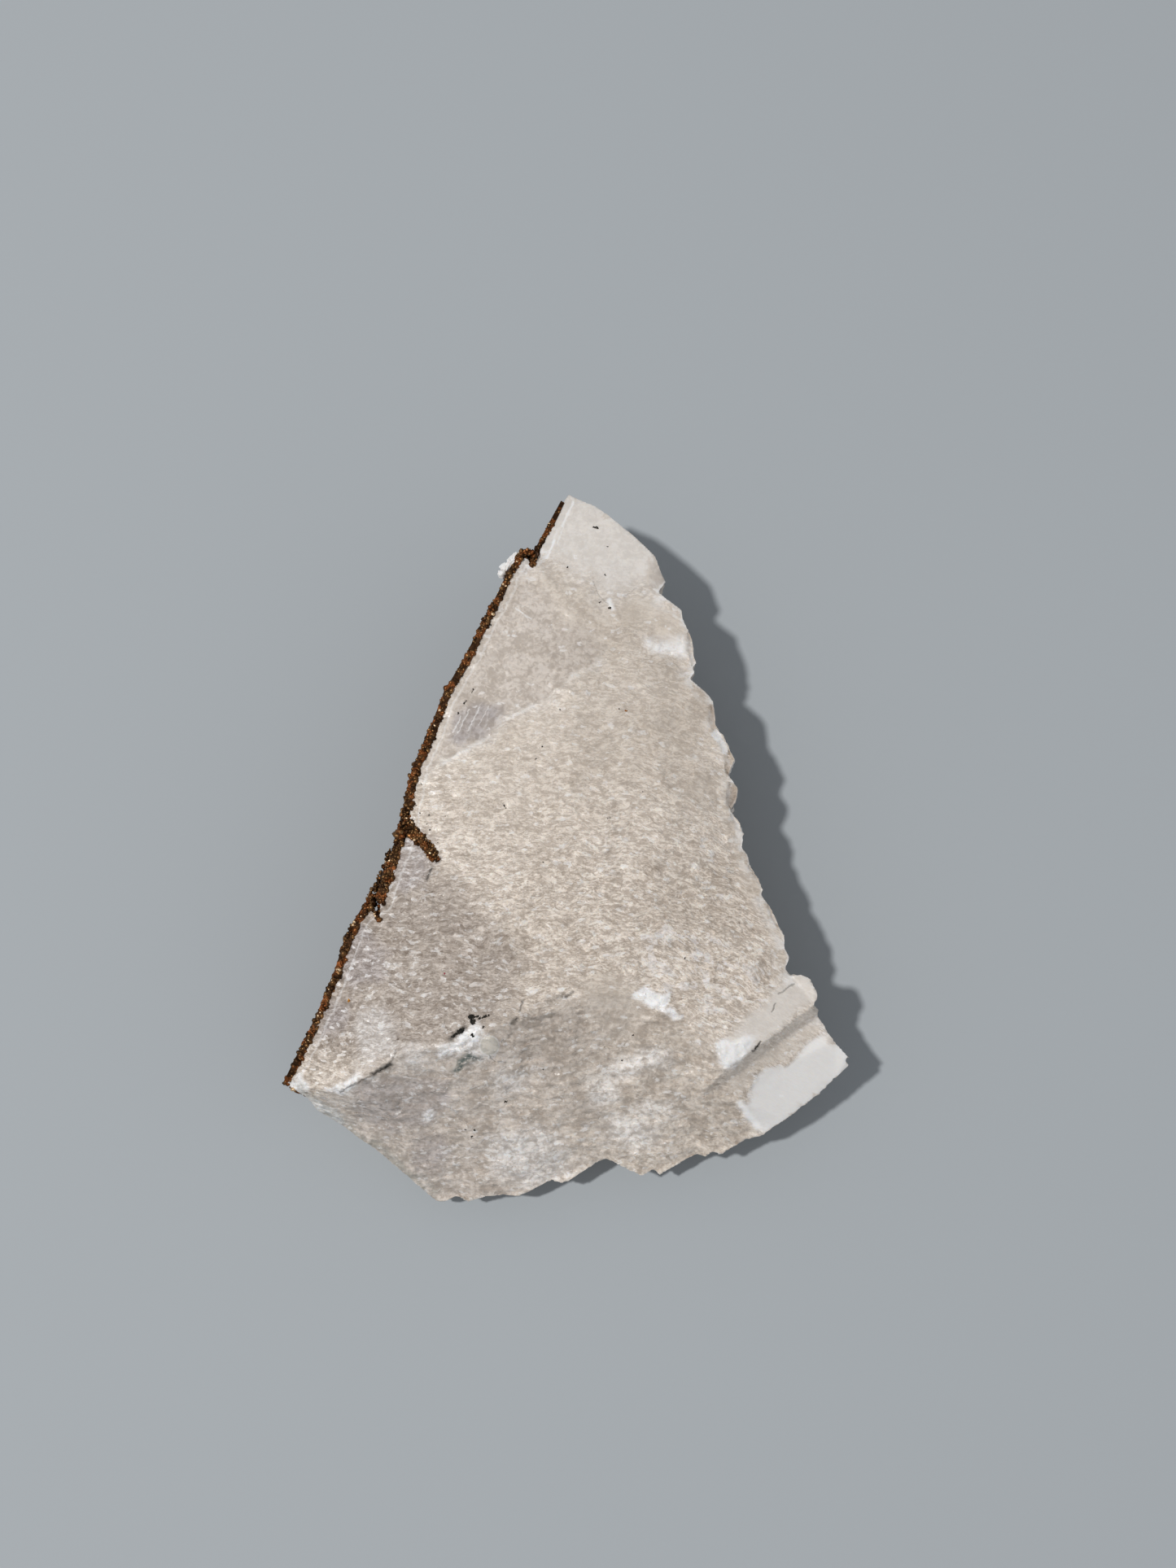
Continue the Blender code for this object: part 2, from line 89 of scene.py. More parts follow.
# Crystal ends on the right rim: an outline, how far the face drops to its outer side, how wide it is
# and its tone, from -1 for clear grey to 1 for white, which is a painted highlight on the crystal end.
RIM_FACETS = [
    ([(10.3, 15.6), (11.2, 14.8), (11.3, 12.6), (10.7, 12.2), (10.3, 13.6)], 0.5, 0.8, 0.7),
    ([(12.5, 8.1), (13.0, 8.1), (13.3, 6.4), (13.0, 5.7), (12.3, 6.2)], 0.5, 0.8, -0.4),
    ([(12.5, 5.1), (13.2, 5.7), (13.9, 5.4), (14.7, 4.3), (14.8, 3.7), (14.4, 2.8),
      (13.8, 3.1), (13.6, 3.9)], 0.5, 1.0, 1.0),
    ([(14.6, 3.8), (15.4, 2.5), (14.6, 0.9), (14.1, 1.3), (14.0, 2.3)], 0.8, 1.0, -0.2),
    ([(14.5, 0.2), (15.7, -0.3), (15.5, -1.6), (14.7, -2.5), (14.2, -2.0), (14.2, -0.8)],
     0.9, 1.2, -0.9),
    ([(14.6, -3.2), (15.2, -3.2), (16.0, -4.1), (16.2, -5.0), (15.3, -4.6), (15.0, -3.8)],
     0.5, 0.8, 1.0),
    ([(16.3, -8.2), (17.0, -8.6), (18.0, -9.8), (18.2, -10.8), (17.7, -10.6), (17.2, -9.4)],
     0.4, 0.7, 0.4),
    ([(18.3, -12.1), (19.2, -13.1), (20.0, -14.9), (19.5, -14.9), (18.8, -13.6)], 0.4, 0.7, 0.3),
]

# Zones of the broken face: outlines as (across, up).
TIP_PALE = [
    (-9.0, 22.0), (-9.0, 33.0), (12.0, 33.0), (12.0, 20.4), (7.0, 18.9), (5.2, 19.9), (3.5, 19.1),
    (2.3, 18.5), (1.2, 19.2), (0.4, 20.9), (-1.5, 21.4), (-3.7, 22.6),
]
BELOW_TIP = [
    (-6.8, 21.9), (-1.8, 21.9), (3.2, 18.2), (2.3, 13.6), (-2.7, 10.3), (-6.8, 9.4),
    (-10.2, 13.6),
]
TIP_FACET = [(6.9, 23.4), (8.2, 20.7), (7.2, 19.6), (5.8, 20.1), (6.1, 21.8)]
TIP_SHOULDER = [
    (6.5, 19.6), (10.2, 18.0), (11.2, 14.8), (11.5, 13.6), (9.0, 12.6), (5.8, 15.6),
    (2.5, 16.2), (1.5, 17.9), (3.5, 18.8), (5.2, 19.6),
]
NOTCH_WEDGE = [(-6.9, 21.8), (-6.8, 22.8), (-6.2, 23.7), (-5.8, 22.8), (-5.8, 21.9)]
GREY_ZONE = [
    (-6.8, 23.2), (-13.8, 9.4), (-19.0, -2.4), (-16.5, -1.5), (-12.0, 1.5), (-8.5, 3.8),
    (-6.0, 5.5), (-3.5, 7.0), (-1.5, 8.5), (2.2, 11.5), (2.6, 13.6), (0.6, 15.2), (-2.2, 16.6),
    (-5.2, 20.6),
]
GREY_EDGE = np.array([
    (-18.1, 0.4), (-15.2, 2.1), (-13.5, 3.3), (-10.3, 4.9), (-8.2, 7.0), (-5.7, 8.0),
    (-4.0, 9.3), (0.9, 13.0),
])
STRIATED = [
    (-13.8, 7.2), (-11.5, 8.4), (-8.3, 8.1), (-8.6, 6.6), (-10.7, 5.0), (-13.2, 3.9),
    (-14.4, 4.2),
]
LEFT_POCKETS = [
    [(-18.7, -3.8), (-16.0, -5.6), (-15.7, -7.4), (-16.7, -10.2), (-19.3, -10.9), (-20.3, -8.9)],
    [(-23.5, -13.6), (-20.3, -17.1), (-20.7, -20.4), (-24.3, -20.8), (-25.7, -18.8)],
    [(-26.5, -21.9), (-24.3, -22.4), (-24.8, -25.6), (-28.2, -26.6)],
]
DULL_LEFT = [
    (-23.0, -9.0), (-13.5, -9.8), (-6.8, -18.1), (-8.5, -24.8), (-18.5, -28.1), (-28.0, -28.1),
    (-28.5, -24.8),
]
FROSTED = [
    [(4.8, -21.5), (6.4, -21.2), (8.5, -21.0), (8.4, -22.2), (7.6, -23.0), (8.7, -23.2),
     (9.9, -23.8), (9.0, -23.8), (7.8, -23.4), (6.4, -22.9), (5.6, -22.2)],
    [(13.1, -26.9), (13.7, -26.2), (14.7, -26.5), (15.5, -25.9), (16.8, -26.2), (16.5, -27.2),
     (15.8, -28.4), (14.5, -29.1), (13.5, -28.4)],
    [(5.9, 14.5), (6.9, 15.0), (8.3, 14.8), (9.7, 15.0), (10.3, 14.4), (10.1, 13.6),
     (9.3, 12.8), (8.3, 13.1), (7.5, 13.6), (6.7, 13.8)],
]
LUMPS = [
    [(-15.8, -27.1), (-14.8, -26.6), (-13.8, -26.8), (-13.3, -26.1), (-12.5, -25.4),
     (-11.8, -24.6), (-10.9, -24.6), (-10.7, -25.6), (-11.4, -26.8), (-12.6, -27.4),
     (-13.8, -27.9), (-15.2, -28.0)],
    [(-31.0, -30.6), (-29.8, -29.4), (-28.7, -30.6), (-29.0, -31.9), (-30.3, -31.6)],
    [(-29.7, -31.9), (-28.5, -31.9), (-26.5, -33.2), (-24.8, -34.8), (-25.7, -35.2),
     (-27.7, -33.8)],
    [(-17.0, -33.4), (-16.2, -33.1), (-15.7, -33.8), (-16.3, -34.4)],
    [(-26.7, -31.3), (-25.6, -30.5), (-24.2, -29.9), (-22.8, -29.9), (-23.5, -30.8), (-25.2, -31.6)],
]
ROUND_LUMP = (-10.1, -26.8, 0.0)
ROUND_LUMP_RADIUS = 1.05
PALE_PATCHES = [
    [(-23.7, -23.4), (-21.2, -22.9), (-19.7, -24.1), (-19.8, -26.0), (-20.3, -27.8),
     (-21.7, -28.6), (-23.5, -29.1)],
    [(-19.5, -26.9), (-18.0, -26.4), (-16.2, -27.2), (-16.0, -28.4), (-17.5, -29.4),
     (-19.2, -28.9)],
    [(-13.8, -26.6), (-12.3, -26.0), (-10.8, -26.4), (-10.7, -28.1), (-12.3, -28.4),
     (-13.8, -27.9)],
    [(-9.8, -29.8), (-8.2, -29.1), (-6.7, -29.9), (-6.8, -31.4), (-8.3, -32.1), (-9.7, -31.2)],
    [(0.1, -30.4), (1.9, -29.8), (3.1, -30.8), (2.9, -32.6), (1.5, -33.4), (0.2, -32.4)],
    [(1.5, -29.6), (3.6, -27.9), (6.5, -27.2), (8.5, -27.8), (8.2, -28.9), (5.7, -29.6),
     (3.2, -30.6)],
    [(4.4, -33.4), (6.5, -32.4), (8.8, -33.0), (8.3, -33.8), (5.8, -34.2)],
    [(-10.4, -36.6), (-7.7, -35.2), (-4.7, -35.2), (-2.3, -36.8), (-1.8, -39.8), (-5.2, -41.6),
     (-9.3, -40.6)],
    [(1.7, -34.4), (4.4, -33.9), (7.0, -35.1), (7.5, -36.6), (4.8, -37.4), (2.2, -36.4)],
]
BROWN_PATCHES = [
    [(-2.7, -31.9), (-0.8, -31.1), (1.9, -31.6), (2.4, -33.2), (1.2, -34.8), (-1.3, -34.7),
     (-2.8, -33.6)],
    [(5.8, -30.9), (8.2, -30.2), (11.0, -30.8), (10.8, -32.4), (8.7, -33.1), (6.2, -32.4)],
    [(-8.7, -24.1), (-5.2, -23.1), (-0.5, -23.1), (1.7, -26.0), (0.0, -28.9), (-3.8, -30.8),
     (-6.8, -28.8)],
]
LILAC_PATCHES = [
    [(-24.5, -30.4), (-21.0, -29.6), (-16.8, -29.8), (-13.8, -30.4), (-14.2, -33.2),
     (-16.0, -35.4), (-20.2, -35.8), (-23.7, -34.1)],
    [(-18.5, -36.0), (-14.8, -35.4), (-13.5, -38.1), (-15.2, -40.2), (-18.1, -39.8)],
]
GLASSY_PATCHES = [
    [(9.5, 0.7), (11.5, 1.6), (13.6, 0.7), (13.4, -1.4), (11.3, -2.2), (9.8, -1.1)],
    [(6.8, 6.9), (8.3, 7.7), (9.7, 6.9), (9.2, 5.4), (7.4, 5.4)],
    [(10.4, 9.8), (12.2, 9.4), (12.8, 7.8), (12.2, 6.5), (10.7, 7.2)],
    [(6.5, 12.6), (8.7, 12.9), (10.3, 11.6), (10.0, 10.1), (7.8, 10.4)],
    [(-0.5, -20.2), (2.3, -19.6), (5.3, -20.6), (5.8, -23.1), (4.7, -25.4), (1.8, -25.8),
     (0.0, -23.4)],
]
UPPER_STEP = [
    (20.2, -19.8), (21.3, -19.0), (22.8, -19.0), (24.0, -20.9), (23.7, -21.7), (19.0, -25.9),
    (16.9, -27.5), (14.2, -29.2), (13.2, -27.9), (13.5, -26.8), (15.2, -25.1), (17.3, -23.1),
    (19.0, -20.9),
]
LOWER_STEP = [
    (15.6, -32.7), (17.9, -29.4), (20.6, -28.9), (22.6, -26.6), (24.2, -25.8), (27.5, -27.8),
    (27.7, -29.3), (19.2, -35.9), (17.2, -35.4),
]
TROUGH = [
    (23.8, -21.9), (24.4, -23.6), (24.6, -24.9), (22.8, -26.4), (20.5, -28.4), (17.8, -29.2),
    (15.3, -32.1), (14.2, -30.6), (14.2, -29.4), (16.9, -27.8), (19.0, -26.2),
]
STEP_TEETH = [(22.6, -24.4), (24.2, -23.2), (26.0, -25.2), (27.4, -28.0), (24.2, -25.8)]
LOWER_SLOPE = [
    (-26.0, -30.6), (-19.7, -27.4), (-16.8, -27.8), (-10.2, -24.9), (-5.2, -23.1),
    (-1.8, -21.9), (4.9, -21.8), (9.9, -24.2), (12.8, -26.2), (14.2, -29.4), (15.6, -33.1),
    (18.0, -36.1), (11.0, -39.8), (-4.3, -43.1), (-16.8, -43.9), (-27.7, -34.8),
]
BEIGE_SLOPE = [
    (4.0, -21.9), (7.0, -23.1), (10.7, -24.9), (13.5, -27.2), (15.2, -31.4), (16.9, -34.8),
    (14.8, -36.8), (10.7, -34.8), (6.5, -30.6), (1.5, -25.6),
]
STAINS = [
    [(-14.2, -29.4), (-13.7, -28.6), (-12.7, -28.2), (-11.9, -27.9), (-11.1, -27.7),
     (-11.6, -28.3), (-12.4, -29.0), (-13.2, -29.6), (-14.1, -29.7)],
]
# Where the painted glints of small granules gather on the break.
GRANULES = [
    [(-22.2, -15.6), (-16.0, -13.8), (-10.2, -15.6), (-6.8, -18.1), (-7.5, -22.2),
     (-13.5, -23.1), (-18.5, -22.7), (-22.5, -19.8)],
    [(-8.3, -24.9), (-5.8, -23.9), (-2.7, -24.6), (-2.7, -28.1), (-4.0, -30.8), (-6.8, -32.1),
     (-9.7, -31.6), (-9.2, -28.1)],
    [(1.9, -34.1), (5.7, -33.4), (8.3, -34.2), (8.0, -38.1), (4.8, -39.4), (1.3, -38.1)],
]
# Where the large flakes carry a painted sheen.
LARGE_FLAKES = [
    [(5.3, -16.2), (8.2, -14.8), (11.7, -15.6), (14.8, -16.4), (18.8, -19.1), (17.8, -22.2),
     (13.2, -23.1), (9.0, -21.1), (6.2, -19.4)],
]
LEFT_BREAK = np.array([(-30.8, -30.7), (-28.8, -32.2), (-25.2, -35.0), (-21.7, -37.5), (-15.5, -42.8)])
# Fine lines in the broken face: from (across, up) to (across, up), half width and strength.
DARK_STREAKS = [
    (-25.33, -31.50, -22.00, -29.75, 0.09, 0.60),
    (-22.00, -29.67, -20.25, -28.75, 0.24, 0.95),
    (-20.25, -28.75, -19.67, -27.25, 0.12, 0.45),
    (-10.17, -27.83, -9.50, -28.42, 0.06, 0.50),
    (-9.50, -28.42, -8.42, -28.50, 0.06, 0.40),
    (-6.67, -22.17, -7.00, -23.25, 0.10, 0.60),
    (-7.75, -24.50, -7.33, -24.08, 0.22, 0.70),
    (-2.33, -21.83, -1.50, -21.33, 0.13, 0.60),
    (-4.17, -22.33, -2.50, -21.58, 0.22, 0.35),
    (-6.17, -24.08, -4.83, -24.00, 0.12, 0.35),
    (-4.83, -24.00, -3.50, -23.58, 0.18, 0.40),
    (16.92, -27.33, 17.67, -26.42, 0.12, 0.90),
    (18.83, -23.25, 19.17, -22.50, 0.09, 0.60),
    (19.50, -21.50, 20.33, -21.00, 0.08, 0.45),
    (20.33, -20.92, 21.08, -20.50, 0.10, 0.50),
    (-16.50, -9.75, -16.00, -8.58, 0.14, 0.85),
    (-15.50, -8.08, -15.17, -7.58, 0.20, 0.40),
    (0.42, 20.92, 1.17, 19.17, 0.06, 0.25),
    (1.17, 19.17, 2.17, 18.42, 0.06, 0.25),
    (3.67, 19.17, 5.00, 20.08, 0.06, 0.20),
    (-14.08, -26.08, -12.67, -25.00, 0.26, 0.70),
]
PALE_STREAKS = [
    (-1.50, 28.83, -2.67, 26.42, 0.10, 0.60),
    (-3.42, 24.92, -4.25, 23.08, 0.12, 0.90),
    (-2.17, 27.25, -3.17, 24.58, 0.07, 0.40),
    (-7.42, 18.08, -6.67, 17.42, 0.08, 0.60),
    (-6.67, 17.42, -5.83, 16.92, 0.08, 0.50),
    (2.17, 18.75, 2.50, 18.00, 0.22, 0.80),
    (15.58, -32.75, 17.33, -35.08, 0.34, 0.80),
    (-14.92, 2.08, -10.17, 4.83, 0.16, 0.35),
    (-8.50, 6.58, -5.58, 7.92, 0.16, 0.35),
    (-13.00, 6.92, -13.83, 5.25, 0.07, 0.50),
    (-12.17, 7.58, -13.33, 5.25, 0.06, 0.50),
    (-11.00, 7.92, -12.33, 5.50, 0.06, 0.45),
    (-10.17, 7.92, -11.17, 6.08, 0.05, 0.40),
]


def from_sight(across, up, height):
    """The point at that height on the camera's sight line through (across, up)."""
    seen = SIGHT_MIDDLE + across * np.array([1.0, 0.0, 0.0]) + up * SIGHT_UP
    return EYE + (seen - EYE) * ((EYE[2] - height) / (EYE[2] - seen[2]))


def to_sight(points):
    """(across, up) of each point, as the camera sees it."""
    ways = points - EYE
    seen = ways * (SIGHT_DISTANCE / -(ways @ SIGHT_BACK))[:, None] + SIGHT_DISTANCE * SIGHT_BACK
    return np.stack([seen[:, 0], seen @ SIGHT_UP], axis=1)


def first_seen(surface, place):
    """Where the camera's sight line through that place first meets the surface, or None."""
    return surface.ray_cast(Vector(EYE), Vector(place - EYE).normalized())[0]


def smooth_step(low, high, values):
    part = np.clip((values - low) / (high - low), 0.0, 1.0)
    return part * part * (3.0 - 2.0 * part)


def line_distance(places, line):
    """How far each place is from a line of (across, up) points."""
    nearest = np.full(len(places), np.inf)
    for start, end in zip(line, line[1:]):
        along = end - start
        share = np.clip((places - start) @ along / (along @ along), 0.0, 1.0)
        gaps = places - start - share[:, None] * along
        nearest = np.minimum(nearest, np.einsum("ij,ij->i", gaps, gaps))
    return np.sqrt(nearest)


def side_of(places, line):
    """How far each place is from the line, below zero on its right-hand side."""
    nearest = np.full(len(places), np.inf)
    signed = np.zeros(len(places))
    for start, end in zip(line, line[1:]):
        along = end - start
        off = places - start
        share = np.clip(off @ along / (along @ along), 0.0, 1.0)
        reach = np.linalg.norm(off - share[:, None] * along, axis=1)
        left = along[0] * off[:, 1] - along[1] * off[:, 0] > 0.0
        signed = np.where(reach < nearest, np.where(left, reach, -reach), signed)
        nearest = np.minimum(nearest, reach)
    return signed


def inside(places, outline):
    """Whether each place is inside the outline."""
    found = np.zeros(len(places), bool)
    outline = np.array(outline)
    for start, end in zip(outline, np.roll(outline, -1, axis=0)):
        crosses = (start[1] > places[:, 1]) != (end[1] > places[:, 1])
        rise = end[1] - start[1] or 1e-9
        found ^= crosses & (places[:, 0] < start[0] + (end[0] - start[0]) * (places[:, 1] - start[1]) / rise)
    return found


def zone(places, outline, soft):
    """1 inside the outline, 0 outside it, with a soft change that wide on each side."""
    closed = np.vstack([outline, outline[:1]])
    signed = np.where(inside(places, outline), 1.0, -1.0) * line_distance(places, closed)
    return smooth_step(-soft, soft, signed)


def zones(places, outlines, soft):
    return np.max([zone(places, outline, soft) for outline in outlines], axis=0)


def scattered(cells, seed):
    """A random value from -1 to 1 for each whole-numbered cell.

    The large numbers have no meaning: they only mix the bits well.
    """
    mixed = cells[:, 0] * 73856093 ^ cells[:, 1] * 19349663 ^ cells[:, 2] * 83492791 ^ seed * 2654435761
    mixed = (mixed ^ mixed >> 13) * 1274126177 & 0xFFFFFFFF
    mixed = (mixed ^ mixed >> 16) * 2246822519 & 0xFFFFFFFF
    return ((mixed ^ mixed >> 13) & 0xFFFFF) / 524288.0 - 1.0


def noise(points, size, seed, layers=1):
    """Smooth random values from about -1 to 1 that change over that size, which may be a triple."""
    total = np.zeros(len(points))
    for layer in range(layers):
        scaled = points / size * 2.0 ** layer + seed * 7.31
        cells = np.floor(scaled).astype(np.int64)
        part = scaled - cells
        ease = part * part * (3.0 - 2.0 * part)
        for corner in np.ndindex(2, 2, 2):
            weight = np.prod(np.where(corner, ease, 1.0 - ease), axis=1)
            total += weight * scattered(cells + corner, seed + layer) / 2.0 ** layer
    return total


def flakes(points, size, seed, tilt):
    """Heights of randomly tilted flakes that size, with a small step between neighbours."""
    scaled = points / size
    cells = np.floor(scaled).astype(np.int64)
    nearest = np.full(len(points), np.inf)
    height = np.zeros(len(points))
    for step in np.ndindex(3, 3, 3):
        cell = cells + np.array(step) - 1
        middle = cell + 0.5 + 0.45 * np.stack([scattered(cell, seed + k) for k in range(3)], axis=1)
        gap = scaled - middle
        reach = np.einsum("ij,ij->i", gap, gap)
        slope = np.stack([scattered(cell, seed + 3 + k) for k in range(3)], axis=1)
        flake = scattered(cell, seed + 6) * 0.5 + tilt * np.einsum("ij,ij->i", gap, slope)
        height = np.where(reach < nearest, flake, height)
        nearest = np.minimum(nearest, reach)
    return height


def wandering(points, places, reach, size, seed):
    """The places, each moved by a smooth random amount, so that an outline's edge wanders."""
    return places + reach * np.stack([noise(points, size, seed + k, 2) for k in range(2)], axis=1)


def grain_places(points, places):
    """Each point as (along the fibres, across them, height).

    The fibres run level on the left and turn down a little towards the right rim.
    """
    across, up = places.T
    fall = 0.012 * np.maximum(across, 0.0) ** 2
    wave = 0.38 * noise(points, 3.2, 3) + 0.20 * noise(points, 1.3, 5)
    return np.stack([across, up + fall + wave, points[:, 2]], axis=1)


def vertex_values(mesh, kind):
    values = np.empty(len(mesh.vertices) * 3)
    mesh.vertices.foreach_get(kind, values)
    return values.reshape(-1, 3)


def mesh_arrays(mesh):
    """The mesh's points in millimetres, and its normals there."""
    return vertex_values(mesh, "co") / MM, vertex_values(mesh, "normal")


def kept_in_box(points):
    """The points, none of them outside the box of the CAD model."""
    lowest, highest = (np.array(corner) / MM for corner in cad_box)
    return np.clip(points, lowest, highest)


def join(target, meshes):
    """Write the meshes into the target as one."""
    whole = bmesh.new()
    for mesh in meshes:
        whole.from_mesh(mesh)
    whole.to_mesh(target)
    whole.free()


def set_points(mesh, points):
    mesh.vertices.foreach_set("co", (points * MM).ravel())
    mesh.update()


def applied(obj, kind, **values):
    """The object's mesh with one modifier applied."""
    modifier = obj.modifiers.new(kind, kind)
    for name, value in values.items():
        setattr(modifier, name, value)
    depsgraph = bpy.context.evaluated_depsgraph_get()
    made = bpy.data.meshes.new_from_object(obj.evaluated_get(depsgraph))
    obj.modifiers.clear()
    obj.data = made
    return made


def new_object(name, data):
    """An object in the scene with that mesh, light or camera."""
    made = bpy.data.objects.new(name, data)
    bpy.context.scene.collection.objects.link(made)
    return made


def new_piece(name, mesh, material, *nodes):
    """A piece of the visual model that stands for those CAD nodes."""
    mesh.materials.clear()
    mesh.materials.append(material)
    piece = new_object(name, mesh)
    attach(piece, "root")
    if nodes:
        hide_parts(*nodes)
    return piece


def float_attribute(mesh, name, values):
    made = mesh.attributes.new(name, "FLOAT", "POINT")
    made.data.foreach_set("value", values.astype(np.float32))


def vector_attribute(mesh, name, values):
    made = mesh.attributes.new(name, "FLOAT_VECTOR", "POINT")
    made.data.foreach_set("vector", values.astype(np.float32).ravel())


# Calcite: the broken face

BODY_VOXEL = 0.21
BODY_TRIANGLES = 190000
CREASE = radians(38)
# The three edge directions of the calcite's cleavage, one in each column.
CLEAVAGE = np.array([(0.80, 0.62, 0.45), (0.58, -0.74, -0.06), (0.14, 0.26, -0.89)])
# The calcite grows up to the seam of marcasite: what fills the cleft round it, and how high.
SEAM_FILL = [
    (-18.3, -2.6), (-17.5, -3.2), (-16.4, -4.6), (-14.9, -6.4), (-15.2, -8.0), (-16.9, -7.6),
    (-18.2, -6.5), (-18.6, -5.2), (-18.45, -4.6),
]
SEAM_FILL_HEIGHTS = (13.5, 20.4)

# Tones of the broken face: an outline, how soft its edge is and how strong the tone is.
GREYED = [
    (STRIATED, 0.7, 0.90), (DULL_LEFT, 2.2, 0.22), (TIP_FACET, 0.1, 0.36), (NOTCH_WEDGE, 0.3, 0.55),
    *((outline, 0.9, 0.85) for outline in LEFT_POCKETS),
    *((outline, 1.0, 0.72) for outline in LILAC_PATCHES),
]
PALED = [
    (TIP_PALE, 2.2, 0.40), (LOWER_STEP, 0.3, 0.78), (TROUGH, 0.4, 0.10), (UPPER_STEP, 0.7, 0.32),
    (STEP_TEETH, 0.5, 0.45), (FROSTED[0], 0.2, 0.6),
]
WHITENED = [
    (FROSTED[0], 0.2, 1.0), (FROSTED[1], 0.25, 0.9), (FROSTED[2], 0.8, 0.85),
    *((outline, 0.3, 0.85) for outline in LUMPS),
    *((outline, 0.9, 0.36) for outline in PALE_PATCHES),
]
TANNED = [
    (TROUGH, 0.4, 0.12), (BEIGE_SLOPE, 1.4, 0.30), (DULL_LEFT, 2.2, 1.0),
    *((outline, 0.8, 0.52) for outline in BROWN_PATCHES),
    *((outline, 0.9, 0.34) for outline in GLASSY_PATCHES),
]
# How smooth the broken face is, in the same way: 1 on crystal faces and 0 on the rough break.
SMOOTHED = [
    (TIP_PALE, 2.0, 0.92), (LOWER_STEP, 0.3, 0.95), (UPPER_STEP, 0.7, 0.85), (TROUGH, 0.5, 0.6),
    (TIP_SHOULDER, 1.4, 0.7), (BELOW_TIP, 1.5, 0.62),
    *((outline, 0.9, 0.5) for outline in GLASSY_PATCHES),
]
# The flakes of the rough break: their size along the fibres, height, tilt and seed.
BREAK_FLAKES = [((2.6, 1.0, 2.0), 0.14, 0.4, 21), ((1.3, 0.55, 1.0), 0.13, 0.6, 31)]
SWELL_HEIGHT = 0.16
SLOPE_HEIGHT = 0.20
FROST_HEIGHT = 0.12
LUMP_HEIGHT = 0.30
BLEB_HEIGHT = 0.30
GREY_ZONE_DEPTH = 0.16
FACE_SINK = 0.12
# The cleavage steps on the sides, in the same way, along the calcite's three edges.
SIDE_FLAKES = [((3.2, 2.4, 1.3), 0.16, 0.15, 71), ((1.3, 1.1, 0.5), 0.07, 0.2, 75)]
SIDE_SINK = 0.1


def painted(places, rows):
    """The strongest of those tones at each place."""
    return np.max([strength * zone(places, outline, soft) for outline, soft, strength in rows], axis=0)


def grey_growth(places):
    """1 in the grey zone, with a crisp edge along GREY_EDGE and soft edges elsewhere."""
    return zone(places, GREY_ZONE, 1.6) * smooth_step(-0.14, 0.14, side_of(places, GREY_EDGE))


def broken_weight(points, normals):
    """1 on the broken face, 0 on the sides and the base. The face is steep by LEFT_BREAK."""
    steep = smooth_step(6.0, 3.0, line_distance(to_sight(points), LEFT_BREAK))
    facing = smooth_step(0.22, 0.5, normals[:, 2] + 0.18 * steep)
    return facing * smooth_step(3.0, 4.2, points[:, 2])


def smooth_growth(places):
    """1 on the smooth crystal faces, less on glassy ground and 0 on the rough break."""
    return np.maximum.reduce([
        painted(places, SMOOTHED), 0.72 * grey_growth(places),
        0.45 * smooth_step(-12.0, 8.0, places[:, 1]),
        0.5 * smooth_step(2.2, 0.5, line_distance(places, RIGHT_RIM)),
    ])


def face_relief(points, places):
    """How far the broken face stands above or below its plain form."""
    grain = grain_places(points, places)
    wander = wandering(points, places, 0.35, 1.6, 91)
    slope = zone(places, LOWER_SLOPE, 1.2)
    rough = 1.0 - smooth_growth(wander)
    relief = SWELL_HEIGHT * noise(points, 7.0, 11, 2) * (0.3 + 0.7 * rough)
    for size, height, tilt, seed in BREAK_FLAKES:
        relief += rough * height * flakes(grain, size, seed, tilt)
    relief += rough * 0.08 * noise(grain, (1.3, 0.5, 0.8), 41, 2)
    relief += slope * SLOPE_HEIGHT * noise(points, (2.4, 1.8, 2.0), 51, 3)
    relief += FROST_HEIGHT * zones(wander, FROSTED, 0.3) * (1.0 + flakes(points, 0.7, 61, 0.7))
    relief += LUMP_HEIGHT * zones(wander, LUMPS, 0.35) * (0.8 + 0.6 * noise(points, 0.6, 65, 2))
    bleb = np.linalg.norm(places - ROUND_LUMP[:2], axis=1)
    relief += BLEB_HEIGHT * smooth_step(ROUND_LUMP_RADIUS + 0.1, ROUND_LUMP_RADIUS - 0.5, bleb)
    relief -= GREY_ZONE_DEPTH * grey_growth(wander)
    for outline, drop, width, _ in RIM_FACETS:
        outer = np.clip(1.0 - line_distance(places, RIGHT_RIM) / width, 0.0, 1.0)
        relief -= drop * outer * zone(places, outline, 0.12)
    return relief - FACE_SINK


